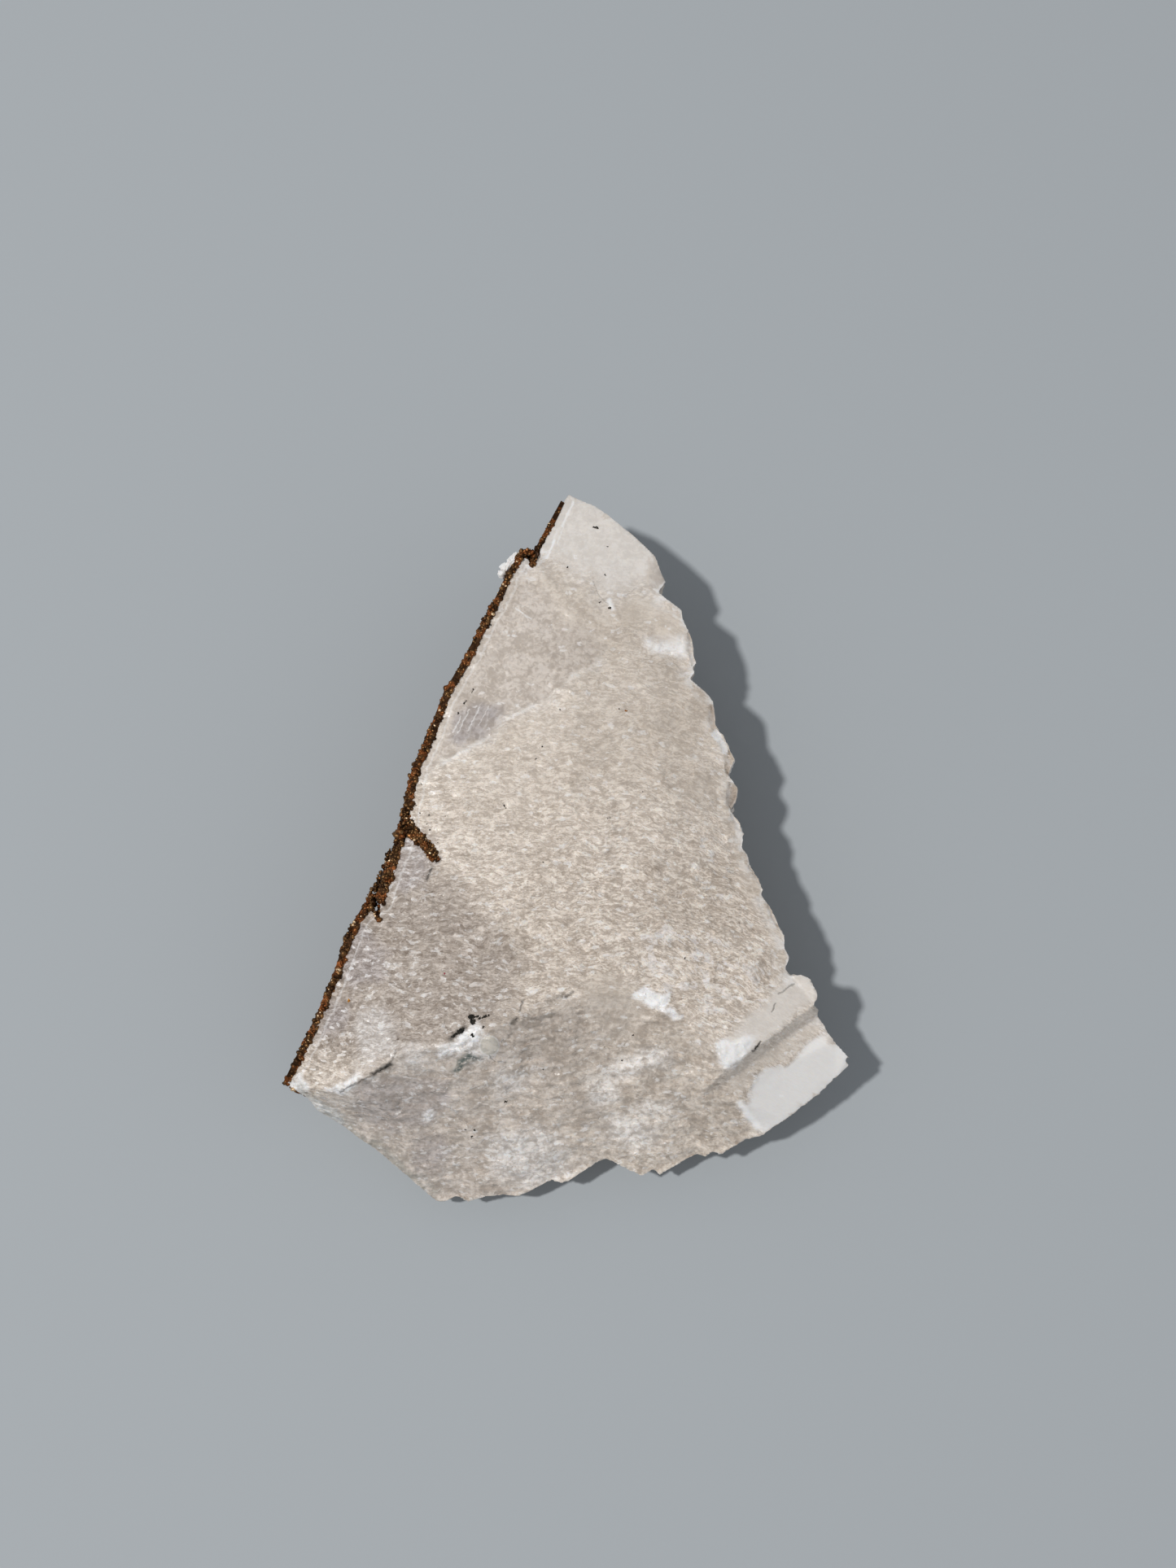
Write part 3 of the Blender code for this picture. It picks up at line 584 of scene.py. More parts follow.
def set_face_attributes(mesh, points, normals):
    """What the calcite's finish needs to know about each place on the broken face."""
    places = to_sight(points)
    wander = wandering(points, places, 0.45, 1.5, 95)
    broken = broken_weight(points, normals)
    slope = zone(wander, LOWER_SLOPE, 1.8)
    grey = grey_growth(wander)
    cream_edge = side_of(wander, GREY_EDGE)
    cream_edge = smooth_step(-1.3, -0.12, cream_edge) * (cream_edge < 0.0)
    # The crystal ends' tone: above 0 a painted highlight, below 0 greyer.
    facet_highlight_and_tone = sum(tone * zone(places, outline, 0.1) for outline, _, _, tone in RIM_FACETS)
    float_attribute(mesh, "broken", broken)
    float_attribute(mesh, "smooth_growth", broken * smooth_growth(wander))
    float_attribute(mesh, "waxy", broken * np.maximum.reduce([
        slope, 0.95 * grey, 0.30 * zone(wander, TIP_PALE, 1.2), 0.7 * zone(wander, BELOW_TIP, 1.2),
    ]))
    float_attribute(mesh, "greyed", broken * np.maximum.reduce([
        painted(wander, GREYED), 0.28 * grey, 0.25 * np.maximum(-facet_highlight_and_tone, 0.0),
        0.30 * slope * smooth_step(12.0, -16.0, places[:, 0]),
    ]))
    float_attribute(mesh, "paled", broken * np.maximum(
        painted(wander, PALED) * (1.0 - 0.8 * zone(places, TIP_FACET, 0.1)), 0.2 * cream_edge,
    ))
    # White zones, and the painted highlights on the rim's crystal ends.
    float_attribute(mesh, "whitened", broken * np.maximum(
        painted(wander, WHITENED), 0.9 * np.maximum(facet_highlight_and_tone, 0.0),
    ))
    float_attribute(mesh, "tanned", broken * np.maximum(
        painted(wander, TANNED), 0.4 * np.maximum(-facet_highlight_and_tone, 0.0),
    ))
    float_attribute(mesh, "stained", broken * zones(wander, STAINS, 0.25))
    float_attribute(mesh, "granular", broken * zones(wander, GRANULES, 1.5))
    float_attribute(mesh, "large_flaked", broken * zones(wander, LARGE_FLAKES, 1.2))
    float_attribute(mesh, "striated", broken * zone(wander, STRIATED, 0.35))
    float_attribute(mesh, "wall_distance", line_distance(places, LEFT_RIM))
    float_attribute(mesh, "rim_distance", line_distance(places, RIGHT_RIM))
    float_attribute(mesh, "break_distance", line_distance(places, LEFT_BREAK))
    vector_attribute(mesh, "grain_place", grain_places(points, places))
    vector_attribute(mesh, "sight_place", np.hstack([places, np.zeros((len(places), 1))]))


def seam_fill():
    """An upright prism of calcite in the cleft of the seam, as a mesh."""
    low, high = SEAM_FILL_HEIGHTS
    top = [from_sight(across, up, high) for across, up in SEAM_FILL]
    points = top + [np.array([x, y, low]) for x, y, _ in top]
    count = len(top)
    faces = [tuple(range(count)), tuple(range(2 * count - 1, count - 1, -1))]
    faces += [(i, i + count, (i + 1) % count + count, (i + 1) % count) for i in range(count)]
    mesh = bpy.data.meshes.new("seam_fill")
    mesh.from_pydata([point * MM for point in points], [], faces)
    return mesh


def make_calcite():
    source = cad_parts["calcite_body"]
    fill = seam_fill()
    plain = bpy.data.meshes.new("calcite_work")
    join(plain, [source.data, fill])
    work = new_object("calcite_work", plain)
    mesh = applied(work, "REMESH", mode="VOXEL", voxel_size=BODY_VOXEL * MM, adaptivity=0.0)

    points, normals = mesh_arrays(mesh)
    broken = broken_weight(points, normals)
    side = (1.0 - broken) * smooth_step(0.2, 1.2, points[:, 2])
    up = np.array([0.0, 0.0, 1.0])
    move = (broken * face_relief(points, to_sight(points)))[:, None] * up
    along_edges = points @ CLEAVAGE
    steps = np.zeros(len(points))
    for size, height, tilt, seed in SIDE_FLAKES:
        steps += height * flakes(along_edges, size, seed, tilt)
    steps += 0.03 * noise(points, 0.9, 81, 2)
    move += (side * (steps - SIDE_SINK))[:, None] * normals
    set_points(mesh, kept_in_box(points + move))

    ratio = BODY_TRIANGLES / (2.0 * len(mesh.polygons))
    mesh = applied(work, "DECIMATE", decimate_type="COLLAPSE", ratio=ratio)
    bpy.data.objects.remove(work)
    set_points(mesh, kept_in_box(mesh_arrays(mesh)[0]))
    set_face_attributes(mesh, *mesh_arrays(mesh))
    mesh.shade_smooth()
    mesh.set_sharp_from_angle(angle=CREASE)
    return new_piece("calcite_growth", mesh, calcite_material(), "calcite_body")


# Marcasite: the druse on the wall, and grains in the calcite

# A stubby crystal with a chisel end: height, half length and half width of each ring.
CRYSTAL_RINGS = [(0.0, 0.6, 0.5), (0.75, 0.85, 0.68)]
CRYSTAL_RIDGE = (0.3, 1.15)
CRYSTAL_SIDES = 6


def crystal_shape():
    """Corners and triangles of a unit crystal: a six-sided tablet that ends in a ridge."""
    corners = []
    for z, half_x, half_y in CRYSTAL_RINGS:
        for k in range(CRYSTAL_SIDES):
            turn = 2 * np.pi * (k + 0.5) / CRYSTAL_SIDES
            corners.append((half_x * cos(turn), half_y * sin(turn), z))
    half_ridge, ridge_height = CRYSTAL_RIDGE
    corners += [(-half_ridge, 0.0, ridge_height), (half_ridge, 0.0, ridge_height)]
    triangles = []
    for k in range(CRYSTAL_SIDES):
        a, b = k, (k + 1) % CRYSTAL_SIDES
        triangles += [(a, b, b + CRYSTAL_SIDES), (a, b + CRYSTAL_SIDES, a + CRYSTAL_SIDES)]
    left, right = len(corners) - 2, len(corners) - 1
    ends = [right if corners[CRYSTAL_SIDES + k][0] > 0 else left for k in range(CRYSTAL_SIDES)]
    for k in range(CRYSTAL_SIDES):
        after = (k + 1) % CRYSTAL_SIDES
        triangles.append((CRYSTAL_SIDES + k, CRYSTAL_SIDES + after, ends[k]))
        if ends[k] != ends[after]:
            triangles.append((CRYSTAL_SIDES + after, ends[after], ends[k]))
    triangles += [(0, k + 1, k) for k in range(1, CRYSTAL_SIDES - 1)]
    return np.array(corners), np.array(triangles)


def turned_to(ways, spins):
    """A turning matrix for each way: z goes to the way, then it spins about it."""
    ways = ways / np.linalg.norm(ways, axis=1, keepdims=True)
    helper = np.where(np.abs(ways[:, 2:]) < 0.9, [[0.0, 0.0, 1.0]], [[1.0, 0.0, 0.0]])
    side = np.cross(helper, ways)
    side /= np.linalg.norm(side, axis=1, keepdims=True)
    other = np.cross(ways, side)
    c, s = np.cos(spins)[:, None], np.sin(spins)[:, None]
    return np.stack([c * side + s * other, c * other - s * side, ways], axis=2)


def crystals_mesh(name, places, ways, spins, sizes, tones, shape):
    """One mesh of many crystals. sizes has three lengths for each; tone is a random value."""
    corners, triangles = shape
    turns = turned_to(ways, spins)
    points = np.einsum("nij,nkj->nki", turns, corners[None] * sizes[:, None, :]) + places[:, None]
    points = kept_in_box(points)
    count = len(places)
    faces = (triangles[None] + np.arange(count)[:, None, None] * len(corners)).reshape(-1, 3)
    mesh = bpy.data.meshes.new(name)
    mesh.vertices.add(count * len(corners))
    mesh.vertices.foreach_set("co", (points * MM).ravel())
    mesh.loops.add(faces.size)
    mesh.loops.foreach_set("vertex_index", faces.ravel())
    mesh.polygons.add(len(faces))
    mesh.polygons.foreach_set("loop_start", np.arange(0, faces.size, 3))
    mesh.update(calc_edges=True)
    float_attribute(mesh, "crystal_tone", np.repeat(tones, len(corners)))
    return mesh


TOP_CROWDING = 4.0


def sampled(mesh, spacing, chance):
    """Random points on a mesh, about that far apart, and the directions they face.

    They are TOP_CROWDING times as close-set on the parts that face up.
    """
    mesh.calc_loop_triangles()
    points, _ = mesh_arrays(mesh)
    corners = np.array([triangle.vertices[:] for triangle in mesh.loop_triangles])
    a, b, c = (points[corners[:, k]] for k in range(3))
    normals = np.cross(b - a, c - a)
    areas = np.linalg.norm(normals, axis=1) / 2
    shares = areas * np.where(normals[:, 2] > 1.2 * areas, TOP_CROWDING, 1.0)
    count = int(shares.sum() / spacing ** 2)
    chosen = chance.choice(len(corners), count, p=shares / shares.sum())
    u, v = chance.random(count), chance.random(count)
    flip = u + v > 1
    u[flip], v[flip] = 1 - u[flip], 1 - v[flip]
    found = a[chosen] + u[:, None] * (b - a)[chosen] + v[:, None] * (c - a)[chosen]
    return found, normals[chosen] / (2 * areas[chosen])[:, None]


# The druse: how far apart its crystals stand, half their width, how much that varies (as a
# logarithm), how much they lean, how deep they sit in their ground and how low the lowest is.
DRUSE_SPACING = 0.312
DRUSE_SIZE = 0.185
DRUSE_SPREAD = 0.38
DRUSE_LEAN = 0.6
DRUSE_SINK = 0.13
DRUSE_FOOT = 0.7
# Between these places up the tip the druse thins out.
TIP_THINNING = (24.0, 29.5)
# A sheet's side within CAD_GAP of the calcite goes GROUND_SINK into it; its other side comes in
# by CRYSTAL_ROOM of its distance.
CAD_GAP = 0.4
GROUND_SINK = 0.2
CRYSTAL_ROOM = 0.34
DRUSE_NODES = {
    "marcasite_druse_lower": "marcasite_crust_lower",
    "marcasite_druse_middle": "marcasite_crust_middle",
    "marcasite_druse_upper": "marcasite_crust_upper",
    "marcasite_druse_tip": "marcasite_crust_tip",
    "marcasite_druse_seam": "marcasite_seam",
}
# Where the sheets of druse grow together: the piece that the crystals belong to, the height,
# the line as (across, up), how far the crystals spread and how many there are.
DRUSE_JOINS = [
    ("marcasite_druse_upper", 19.0,
     [(-7.3, 23.2), (-6.8, 23.6), (-6.3, 23.8), (-5.8, 23.7)], 0.25, 150),
    ("marcasite_druse_tip", 18.7, [(-5.8, 23.7), (-5.5, 23.1), (-5.8, 22.5)], 0.25, 120),
    ("marcasite_druse_upper", 20.4, [(-18.7, -2.4), (-18.8, -3.1), (-18.7, -3.9)], 0.35, 150),
    ("marcasite_druse_seam", 20.2,
     [(-18.8, -3.3), (-18.2, -4.5), (-17.2, -5.7), (-16.3, -6.5), (-15.7, -7.5)], 0.44, 900),
    ("marcasite_druse_middle", 20.2, [(-18.9, -3.8), (-19.3, -4.8), (-19.6, -5.8)], 0.3, 120),
    ("marcasite_druse_middle", 17.0,
     [(-20.2, -6.8), (-20.8, -8.6), (-21.7, -10.4), (-22.3, -11.4)], 0.3, 160),
    ("marcasite_druse_lower", 19.4, [(-22.1, -11.4), (-22.4, -12.2), (-22.6, -12.8)], 0.35, 130),
    ("marcasite_druse_lower", 19.4, [(-22.2, -12.2), (-21.8, -13.2), (-21.3, -14.0)], 0.1, 60),
]
# Join crystals go this far down from the row's height, or onto the face if it is this near.
JOIN_DEPTH = 3.0
ON_FACE = 1.0
# Fringe crystals: how far they reach from a sheet, how far apart they are before thinning, and
# how near a sheet hides them.
FRINGE = 3.6
FRINGE_SPACING = 0.26
COVERED = 1.5
# The calcite's upright faces lean less than this, and its left faces turn left at least this much.
UPRIGHT_LEAN = 0.35
LEFT_TURN = -0.2
ABOVE_BASE = 0.8


def surface_of(mesh):
    """A search tree over a mesh, in millimetres."""
    points, _ = mesh_arrays(mesh)
    faces = [tuple(polygon.vertices) for polygon in mesh.polygons]
    return BVHTree.FromPolygons([Vector(point) for point in points], faces)


def druse_ground(sheet, calcite_surface):
    """The CAD sheet's mesh, with its inner side moved into the calcite to close the gap.

    Its outer side comes in too, to leave room for the crystals, most towards the end of the tip.
    """
    ground = sheet.copy()
    points, _ = mesh_arrays(ground)
    thinning = smooth_step(*TIP_THINNING, to_sight(points)[:, 1])
    for k, point in enumerate(points):
        nearest, _, _, gap = calcite_surface.find_nearest(Vector(point))
        inward = (nearest - Vector(point)).normalized()
        if gap < CAD_GAP:
            points[k] = nearest + inward * GROUND_SINK
        else:
            points[k] += np.array(inward) * gap * (CRYSTAL_ROOM + 0.25 * thinning[k])
    set_points(ground, points)
    return ground


def stands_clear(places, ways, calcite_surface):
    """Whether each place, moved a little its own way, is outside the calcite."""
    found = []
    for point in places + 0.15 * ways:
        nearest, normal, _, _ = calcite_surface.find_nearest(Vector(point))
        found.append((Vector(point) - nearest).dot(normal) > 0.0)
    return np.array(found)


def join_places(name, chance, face_surface):
    """Places and directions for the crystals where this sheet grows into the next.

    They stand on the broken face where it is below them, and at the row's height elsewhere.
    """
    places = []
    for piece, height, line, spread, count in DRUSE_JOINS:
        if piece != name:
            continue
        line = np.array(line)
        lengths = np.linalg.norm(np.diff(line, axis=0), axis=1)
        along = chance.uniform(0.0, lengths.sum(), count)
        ends = np.concatenate([[0.0], np.cumsum(lengths)])
        across = np.interp(along, ends, line[:, 0]) + chance.uniform(-spread, spread, count)
        up = np.interp(along, ends, line[:, 1]) + chance.uniform(-spread, spread, count)
        drops = JOIN_DEPTH * chance.random(count) ** 2.5
        for a, u, drop in zip(across, up, drops):
            place = from_sight(a, u, height)
            hit = first_seen(face_surface, place)
            if hit and abs(hit.z - height) < ON_FACE:
                places.append(np.array(hit))
            else:
                places.append(place - (0.0, 0.0, drop))
    places = np.array(places).reshape(-1, 3)
    return places, np.tile((-0.4, 0.2, 0.9), (len(places), 1))


def fringe_places(sheet_surface, upright, chance):
    """Places and directions for crystals on the calcite round a sheet, fewer farther away."""
    places, faces = upright
    gaps = np.array([sheet_surface.find_nearest(Vector(place))[3] for place in places])
    patchy = 0.6 + 0.5 * noise(places, 1.8, 131, 2)
    kept = gaps < FRINGE * patchy * chance.random(len(places)) ** 0.7
    for k in np.flatnonzero(kept):
        covered = sheet_surface.ray_cast(Vector(places[k]), Vector(faces[k]), COVERED)[0]
        kept[k] = covered is None
    return places[kept], faces[kept]


def upright_faces(mesh, chance):
    """Random points on the calcite's upright faces and the directions they face.

    Round the end of the tip they are on its left side only.
    """
    places, faces = sampled(mesh, FRINGE_SPACING, chance)
    on_left = (faces[:, 0] < LEFT_TURN) | (to_sight(places)[:, 1] < TIP_THINNING[0])
    kept = on_left & (np.abs(faces[:, 2]) < UPRIGHT_LEAN) & (places[:, 2] > ABOVE_BASE)
    return places[kept], faces[kept]


def make_druse(name, node, seed, material, shape, calcite_surface, face_surface, upright):
    """A crust of tiny crystals over one CAD sheet, with the sheet itself as its ground."""
    chance = np.random.default_rng(seed)
    ground = druse_ground(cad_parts[node].data, calcite_surface)
    places, faces = sampled(ground, DRUSE_SPACING, chance)
    clear = stands_clear(places, faces, calcite_surface)
    more_places, more_ways = join_places(name, chance, face_surface)
    fringe, fringe_ways = fringe_places(surface_of(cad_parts[node].data), upright, chance)
    places = np.vstack([places[clear] - faces[clear] * DRUSE_SINK, more_places, fringe])
    faces = np.vstack([faces[clear], more_ways, fringe_ways])
    count = len(places)
    ways = faces + chance.normal(0.0, DRUSE_LEAN, (count, 3))
    size = DRUSE_SIZE * np.exp(chance.normal(0.0, DRUSE_SPREAD, count))
    size *= 1.0 + 0.25 * noise(places, 2.5, seed)
    size *= 1.0 - 0.5 * smooth_step(*TIP_THINNING, to_sight(places)[:, 1])
    sizes = size[:, None] * chance.uniform(0.7, 1.3, (count, 3))
    places = places - ways * size[:, None] * 0.25
    places[:, 2] = np.maximum(places[:, 2], DRUSE_FOOT)
    mesh = crystals_mesh(
        name, places, ways, chance.uniform(0.0, 2 * np.pi, count), sizes,
        chance.random(count), shape,
    )
    join(mesh, [mesh, ground])
    return new_piece(name, mesh, material, node)


# Dark grains in the broken face: (across, up, half length, half width, turn in degrees, how
# many). The first rows are the larger inclusions, the later ones are single specks.
DARK_GRAINS = [
    (-11.95, -23.85, 0.26, 0.22, 0, 80), (-11.8, -24.35, 0.2, 0.26, 0, 55),
    (-11.4, -23.85, 0.25, 0.08, 20, 18), (-10.7, -23.85, 0.65, 0.09, 18, 38),
    (-13.3, -25.45, 0.8, 0.13, 38, 60), (-13.0, -25.3, 0.4, 0.2, 38, 24),
    (-11.8, -25.7, 0.15, 0.13, 0, 16), (-10.7, -24.9, 0.12, 0.08, 60, 8),
    (-20.9, -29.15, 0.6, 0.05, 30, 12), (17.3, -26.9, 0.4, 0.03, 50, 10),
    (0.75, 26.3, 0.2, 0.09, 0, 12), (0.95, 26.2, 0.08, 0.1, 0, 5),
    (-2.1, 22.2, 0.06, 0.05, 0, 3), (1.75, 21.4, 0.05, 0.05, 0, 2), (2.0, 24.3, 0.05, 0.04, 0, 2),
    (3.2, 7.7, 0.07, 0.06, 0, 4), (-2.9, 7.6, 0.05, 0.04, 0, 2), (-4.7, 3.8, 0.04, 0.04, 0, 2),
    (5.6, -0.8, 0.06, 0.04, 0, 3), (-5.3, 2.6, 0.12, 0.02, 25, 3), (2.1, -3.5, 0.2, 0.02, 10, 4),
    (-8.5, -2.3, 0.25, 0.03, -50, 5), (-4.6, -8.0, 0.05, 0.04, 0, 2),
    (-8.4, -32.5, 0.14, 0.1, 50, 8), (-11.6, -35.4, 0.11, 0.1, 0, 6),
    (-12.6, -35.4, 0.08, 0.06, 0, 4), (-11.9, -36.1, 0.12, 0.06, 60, 6),
    (9.9, -17.9, 0.06, 0.05, 0, 3), (4.6, -25.7, 0.1, 0.05, 30, 4),
    (3.5, -28.3, 0.08, 0.06, 0, 4), (-4.6, -29.2, 0.09, 0.07, 30, 3),
    (2.2, 18.0, 0.2, 0.08, 0, 7), (1.2, 18.6, 0.1, 0.06, 0, 4), (-11.8, 9.6, 0.3, 0.06, 60, 8),
    (-12.6, 8.4, 0.3, 0.05, 60, 8), (-13.3, 7.2, 0.2, 0.05, 60, 4),
    (-17.1, 0.0, 0.05, 0.05, 0, 3), (-16.3, -3.2, 0.05, 0.05, 0, 3), (-14.6, -3.3, 0.04, 0.04, 0, 2),
    (-17.2, -3.0, 0.04, 0.04, 0, 2), (-17.6, -2.2, 0.04, 0.04, 0, 2), (-16.5, -4.1, 0.05, 0.04, 0, 2),
    (-16.2, -4.7, 0.04, 0.04, 0, 2), (-15.4, -6.0, 0.04, 0.04, 0, 2), (-10.0, 16.3, 0.1, 0.1, 0, 8),
]
RUSTY_GRAINS = [(3.9, 7.5, 0.12, 0.04, 0, 8), (-24.5, -22.2, 0.14, 0.12, 0, 14)]
RED_GRAINS = [(-14.7, -19.4, 0.1, 0.05, 40, 7)]
COPPERY_GRAINS = [(-8.1, 20.6, 0.12, 0.12, 0, 8)]
GRAIN_SIZES = (0.05, 0.10)
GRAIN_SINK = 0.35


def make_grains(name, rows, seed, material, shape, surface):
    """Small mineral grains set into the broken face, where their sight lines meet it."""
    chance = np.random.default_rng(seed)
    places, sizes = [], []
    for across, up, half_length, half_width, turn, count in rows:
        c, s = cos(radians(turn)), sin(radians(turn))
        for _ in range(count):
            out = chance.uniform(0.0, 2 * np.pi)
            reach = chance.random() ** 0.5
            along, aside = reach * half_length * cos(out), reach * half_width * sin(out)
            seen = from_sight(across + along * c - aside * s, up + along * s + aside * c, 10.0)
            hit = first_seen(surface, seen)
            if hit:
                places.append(hit)
                sizes.append(chance.uniform(*GRAIN_SIZES) + 0.25 * min(half_width, 0.3))
    places = np.array(places)
    sizes = np.array(sizes)[:, None] * chance.uniform(0.6, 1.3, (len(places), 3))
    ways = np.array([0.0, 0.0, 1.0]) + chance.normal(0.0, 0.5, (len(places), 3))
    places[:, 2] -= sizes[:, 2] * GRAIN_SINK
    mesh = crystals_mesh(
        name, places, ways, chance.uniform(0.0, 2 * np.pi, len(places)), sizes,
        chance.random(len(places)), shape,
    )
    return new_piece(name, mesh, material)


# The late calcite crystals on the druse

def rhomb_shape():
    """Corners and triangles of a unit calcite rhomb."""
    edges = np.array([(1.0, 0.1, 0.25), (-0.45, 0.9, 0.25), (-0.2, -0.35, 0.95)])
    corners = np.array([
        edges[0] * a + edges[1] * b + edges[2] * c
        for a in (-0.5, 0.5) for b in (-0.5, 0.5) for c in (-0.5, 0.5)
    ])
    quads = [(0, 1, 3, 2), (4, 6, 7, 5), (0, 4, 5, 1), (2, 3, 7, 6), (0, 2, 6, 4), (1, 5, 7, 3)]
    triangles = [t for a, b, c, d in quads for t in ((a, b, c), (a, c, d))]
    return corners, np.array(triangles)


BUD_VOXEL = 0.05


def make_bud(seed, material):
    """The small calcite group: many rhombs grown into one frosted lump."""
    chance = np.random.default_rng(seed)
    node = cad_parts["calcite_bud"]
    places, faces = sampled(node.data, 0.4, chance)
    count = len(places)
    sizes = chance.uniform(0.25, 0.55, count)[:, None] * np.ones((1, 3))
    ways = np.array([0.2, 0.1, 1.0]) + chance.normal(0.0, 0.2, (count, 3))
    places = places - faces * sizes * 0.5
    mesh = crystals_mesh(
        "calcite_late", places, ways, chance.normal(0.4, 0.3, count), sizes,
        chance.random(count), rhomb_shape(),
    )
    join(mesh, [mesh, node.data])
    work = new_object("late_work", mesh)
    mesh = applied(work, "REMESH", mode="VOXEL", voxel_size=BUD_VOXEL * MM, adaptivity=0.0)
    bpy.data.objects.remove(work)
    points, normals = mesh_arrays(mesh)
    set_points(mesh, points + normals * (0.02 * noise(points, 0.22, seed, 2))[:, None])
    mesh.shade_smooth()
    return new_piece("calcite_late", mesh, material, "calcite_bud")


# Materials

def new_material(name):
    material = bpy.data.materials.new(name)
    material.use_nodes = True
    material.node_tree.nodes.clear()
    return material, material.node_tree


def add(tree, kind, inputs=None, **settings):
    """A node with its settings, and its inputs as values or as sockets to link from."""
    made = tree.nodes.new(kind)
    for name, value in settings.items():
        setattr(made, name, value)
    for name, value in (inputs or {}).items():
        if isinstance(value, bpy.types.NodeSocket):
            tree.links.new(value, made.inputs[name])
        else:
            made.inputs[name].default_value = value
    return made


def maths(tree, operation, first, second=0.0, third=0.0, clamp=False):
    inputs = {0: first, 1: second, 2: third}
    return add(tree, "ShaderNodeMath", inputs, operation=operation, use_clamp=clamp).outputs[0]


def scaled(tree, value, factor):
    return maths(tree, "MULTIPLY", value, factor)


def vectors(tree, operation, first, second):
    """What the operation makes of two vectors, or of a vector and a length for SCALE."""
    inputs = {0: first, "Scale" if operation == "SCALE" else 1: second}
    made = add(tree, "ShaderNodeVectorMath", inputs, operation=operation)
    return made.outputs["Value" if operation in ("DOT_PRODUCT", "DISTANCE") else "Vector"]


def blend(tree, share, first, second, mode="MIX"):
    """The colour between first and second. Sockets 6 and 7 of a Mix node are its two colours."""
    inputs = {0: share, 6: first, 7: second}
    return add(tree, "ShaderNodeMix", inputs, data_type="RGBA", blend_type=mode).outputs[2]


def ramp(tree, value, low, high):
    """0 below low, 1 above high and a smooth change between."""
    made = add(
        tree, "ShaderNodeMapRange", {"Value": value, "From Min": low, "From Max": high},
        interpolation_type="SMOOTHSTEP",
    )
    return made.outputs["Result"]


def attribute(tree, name, output="Fac"):
    return add(tree, "ShaderNodeAttribute", attribute_name=name).outputs[output]


def new_group(name, inputs, outputs):
    """A shader group, its input sockets and its output node."""
    group = bpy.data.node_groups.new(name, "ShaderNodeTree")
    for socket, kind, value in inputs:
        made = group.interface.new_socket(socket, in_out="INPUT", socket_type=kind)
        if value is not None:
            made.default_value = value
    for socket, kind in outputs:
        group.interface.new_socket(socket, in_out="OUTPUT", socket_type=kind)
    return group, group.nodes.new("NodeGroupInput").outputs, group.nodes.new("NodeGroupOutput")


def place_group(tree, group, **inputs):
    inputs = {name.replace("_", " "): value for name, value in inputs.items()}
    return add(tree, "ShaderNodeGroup", inputs, node_tree=group).outputs


def face_normal(tree):
    return add(tree, "ShaderNodeNewGeometry").outputs["Normal"]


def soft_noise(tree, place, density, detail=3.0, twist=0.0):
    """Smooth noise around 0.5, with that many changes in each millimetre."""
    return add(tree, "ShaderNodeTexNoise", {
        "Vector": place, "Scale": density, "Detail": detail, "Roughness": 0.55, "Distortion": twist,
    }).outputs[0]


# A random colour less this is a random direction.
MIDDLE_GREY = (0.5, 0.5, 0.5)


def flake_group():
    """Small flat flakes: each has its own tone and its own tilt, like broken calcite."""
    group, given, out = new_group(
        "mineral_flakes",
        [("Place", "NodeSocketVector", None), ("Size", "NodeSocketFloat", 1.0),
         ("Ragged", "NodeSocketFloat", 0.5), ("Tilt", "NodeSocketFloat", 0.3),
         ("Normal", "NodeSocketVector", None)],
        [("Tone", "NodeSocketFloat"), ("Normal", "NodeSocketVector")],
    )
    density = maths(group, "DIVIDE", 1.0, given["Size"])
    swirl = add(group, "ShaderNodeTexNoise", {"Vector": given["Place"], "Scale": density, "Detail": 1.0})
    off = vectors(group, "SUBTRACT", swirl.outputs["Color"], MIDDLE_GREY)
    reach = maths(group, "MULTIPLY", given["Size"], scaled(group, given["Ragged"], 4.0))
    place = vectors(group, "ADD", given["Place"], vectors(group, "SCALE", off, reach))
    cells = add(group, "ShaderNodeTexVoronoi", {"Vector": place, "Scale": density})
    centred = vectors(group, "SUBTRACT", cells.outputs["Color"], MIDDLE_GREY)
    total = vectors(group, "ADD", vectors(group, "SCALE", centred, given["Tilt"]), given["Normal"])
    unit = add(group, "ShaderNodeVectorMath", {0: total}, operation="NORMALIZE")
    parts = add(group, "ShaderNodeSeparateXYZ", {0: cells.outputs["Color"]})
    group.links.new(parts.outputs[0], out.inputs["Tone"])
    group.links.new(unit.outputs[0], out.inputs["Normal"])
    return group


def woolly_group():
    """Woolly ridges along one direction: a tone around 0.5 that serves as a height too."""
    group, given, out = new_group(
        "woolly_ridges",
        [("Place", "NodeSocketVector", None), ("Length", "NodeSocketFloat", 1.2),
         ("Width", "NodeSocketFloat", 0.35), ("Twist", "NodeSocketFloat", 0.8)],
        [("Tone", "NodeSocketFloat")],
    )
    sizes = add(group, "ShaderNodeCombineXYZ", {0: given["Length"], 1: given["Width"], 2: given["Length"]})
    shrunk = vectors(group, "DIVIDE", given["Place"], sizes.outputs[0])
    soft = soft_noise(group, shrunk, 1.0, 2.0, given["Twist"])
    elsewhere = vectors(group, "ADD", shrunk, (7.3, 2.9, 5.1))
    other = soft_noise(group, elsewhere, 1.2, 1.0, given["Twist"])
    swing = maths(group, "ABSOLUTE", maths(group, "MULTIPLY_ADD", other, 5.0, -2.5))
    crest = maths(group, "SUBTRACT", 1.0, swing, clamp=True)
    tone = maths(group, "MULTIPLY_ADD", crest, 0.12, scaled(group, soft, 0.88))
    group.links.new(tone, out.inputs["Tone"])
    return group


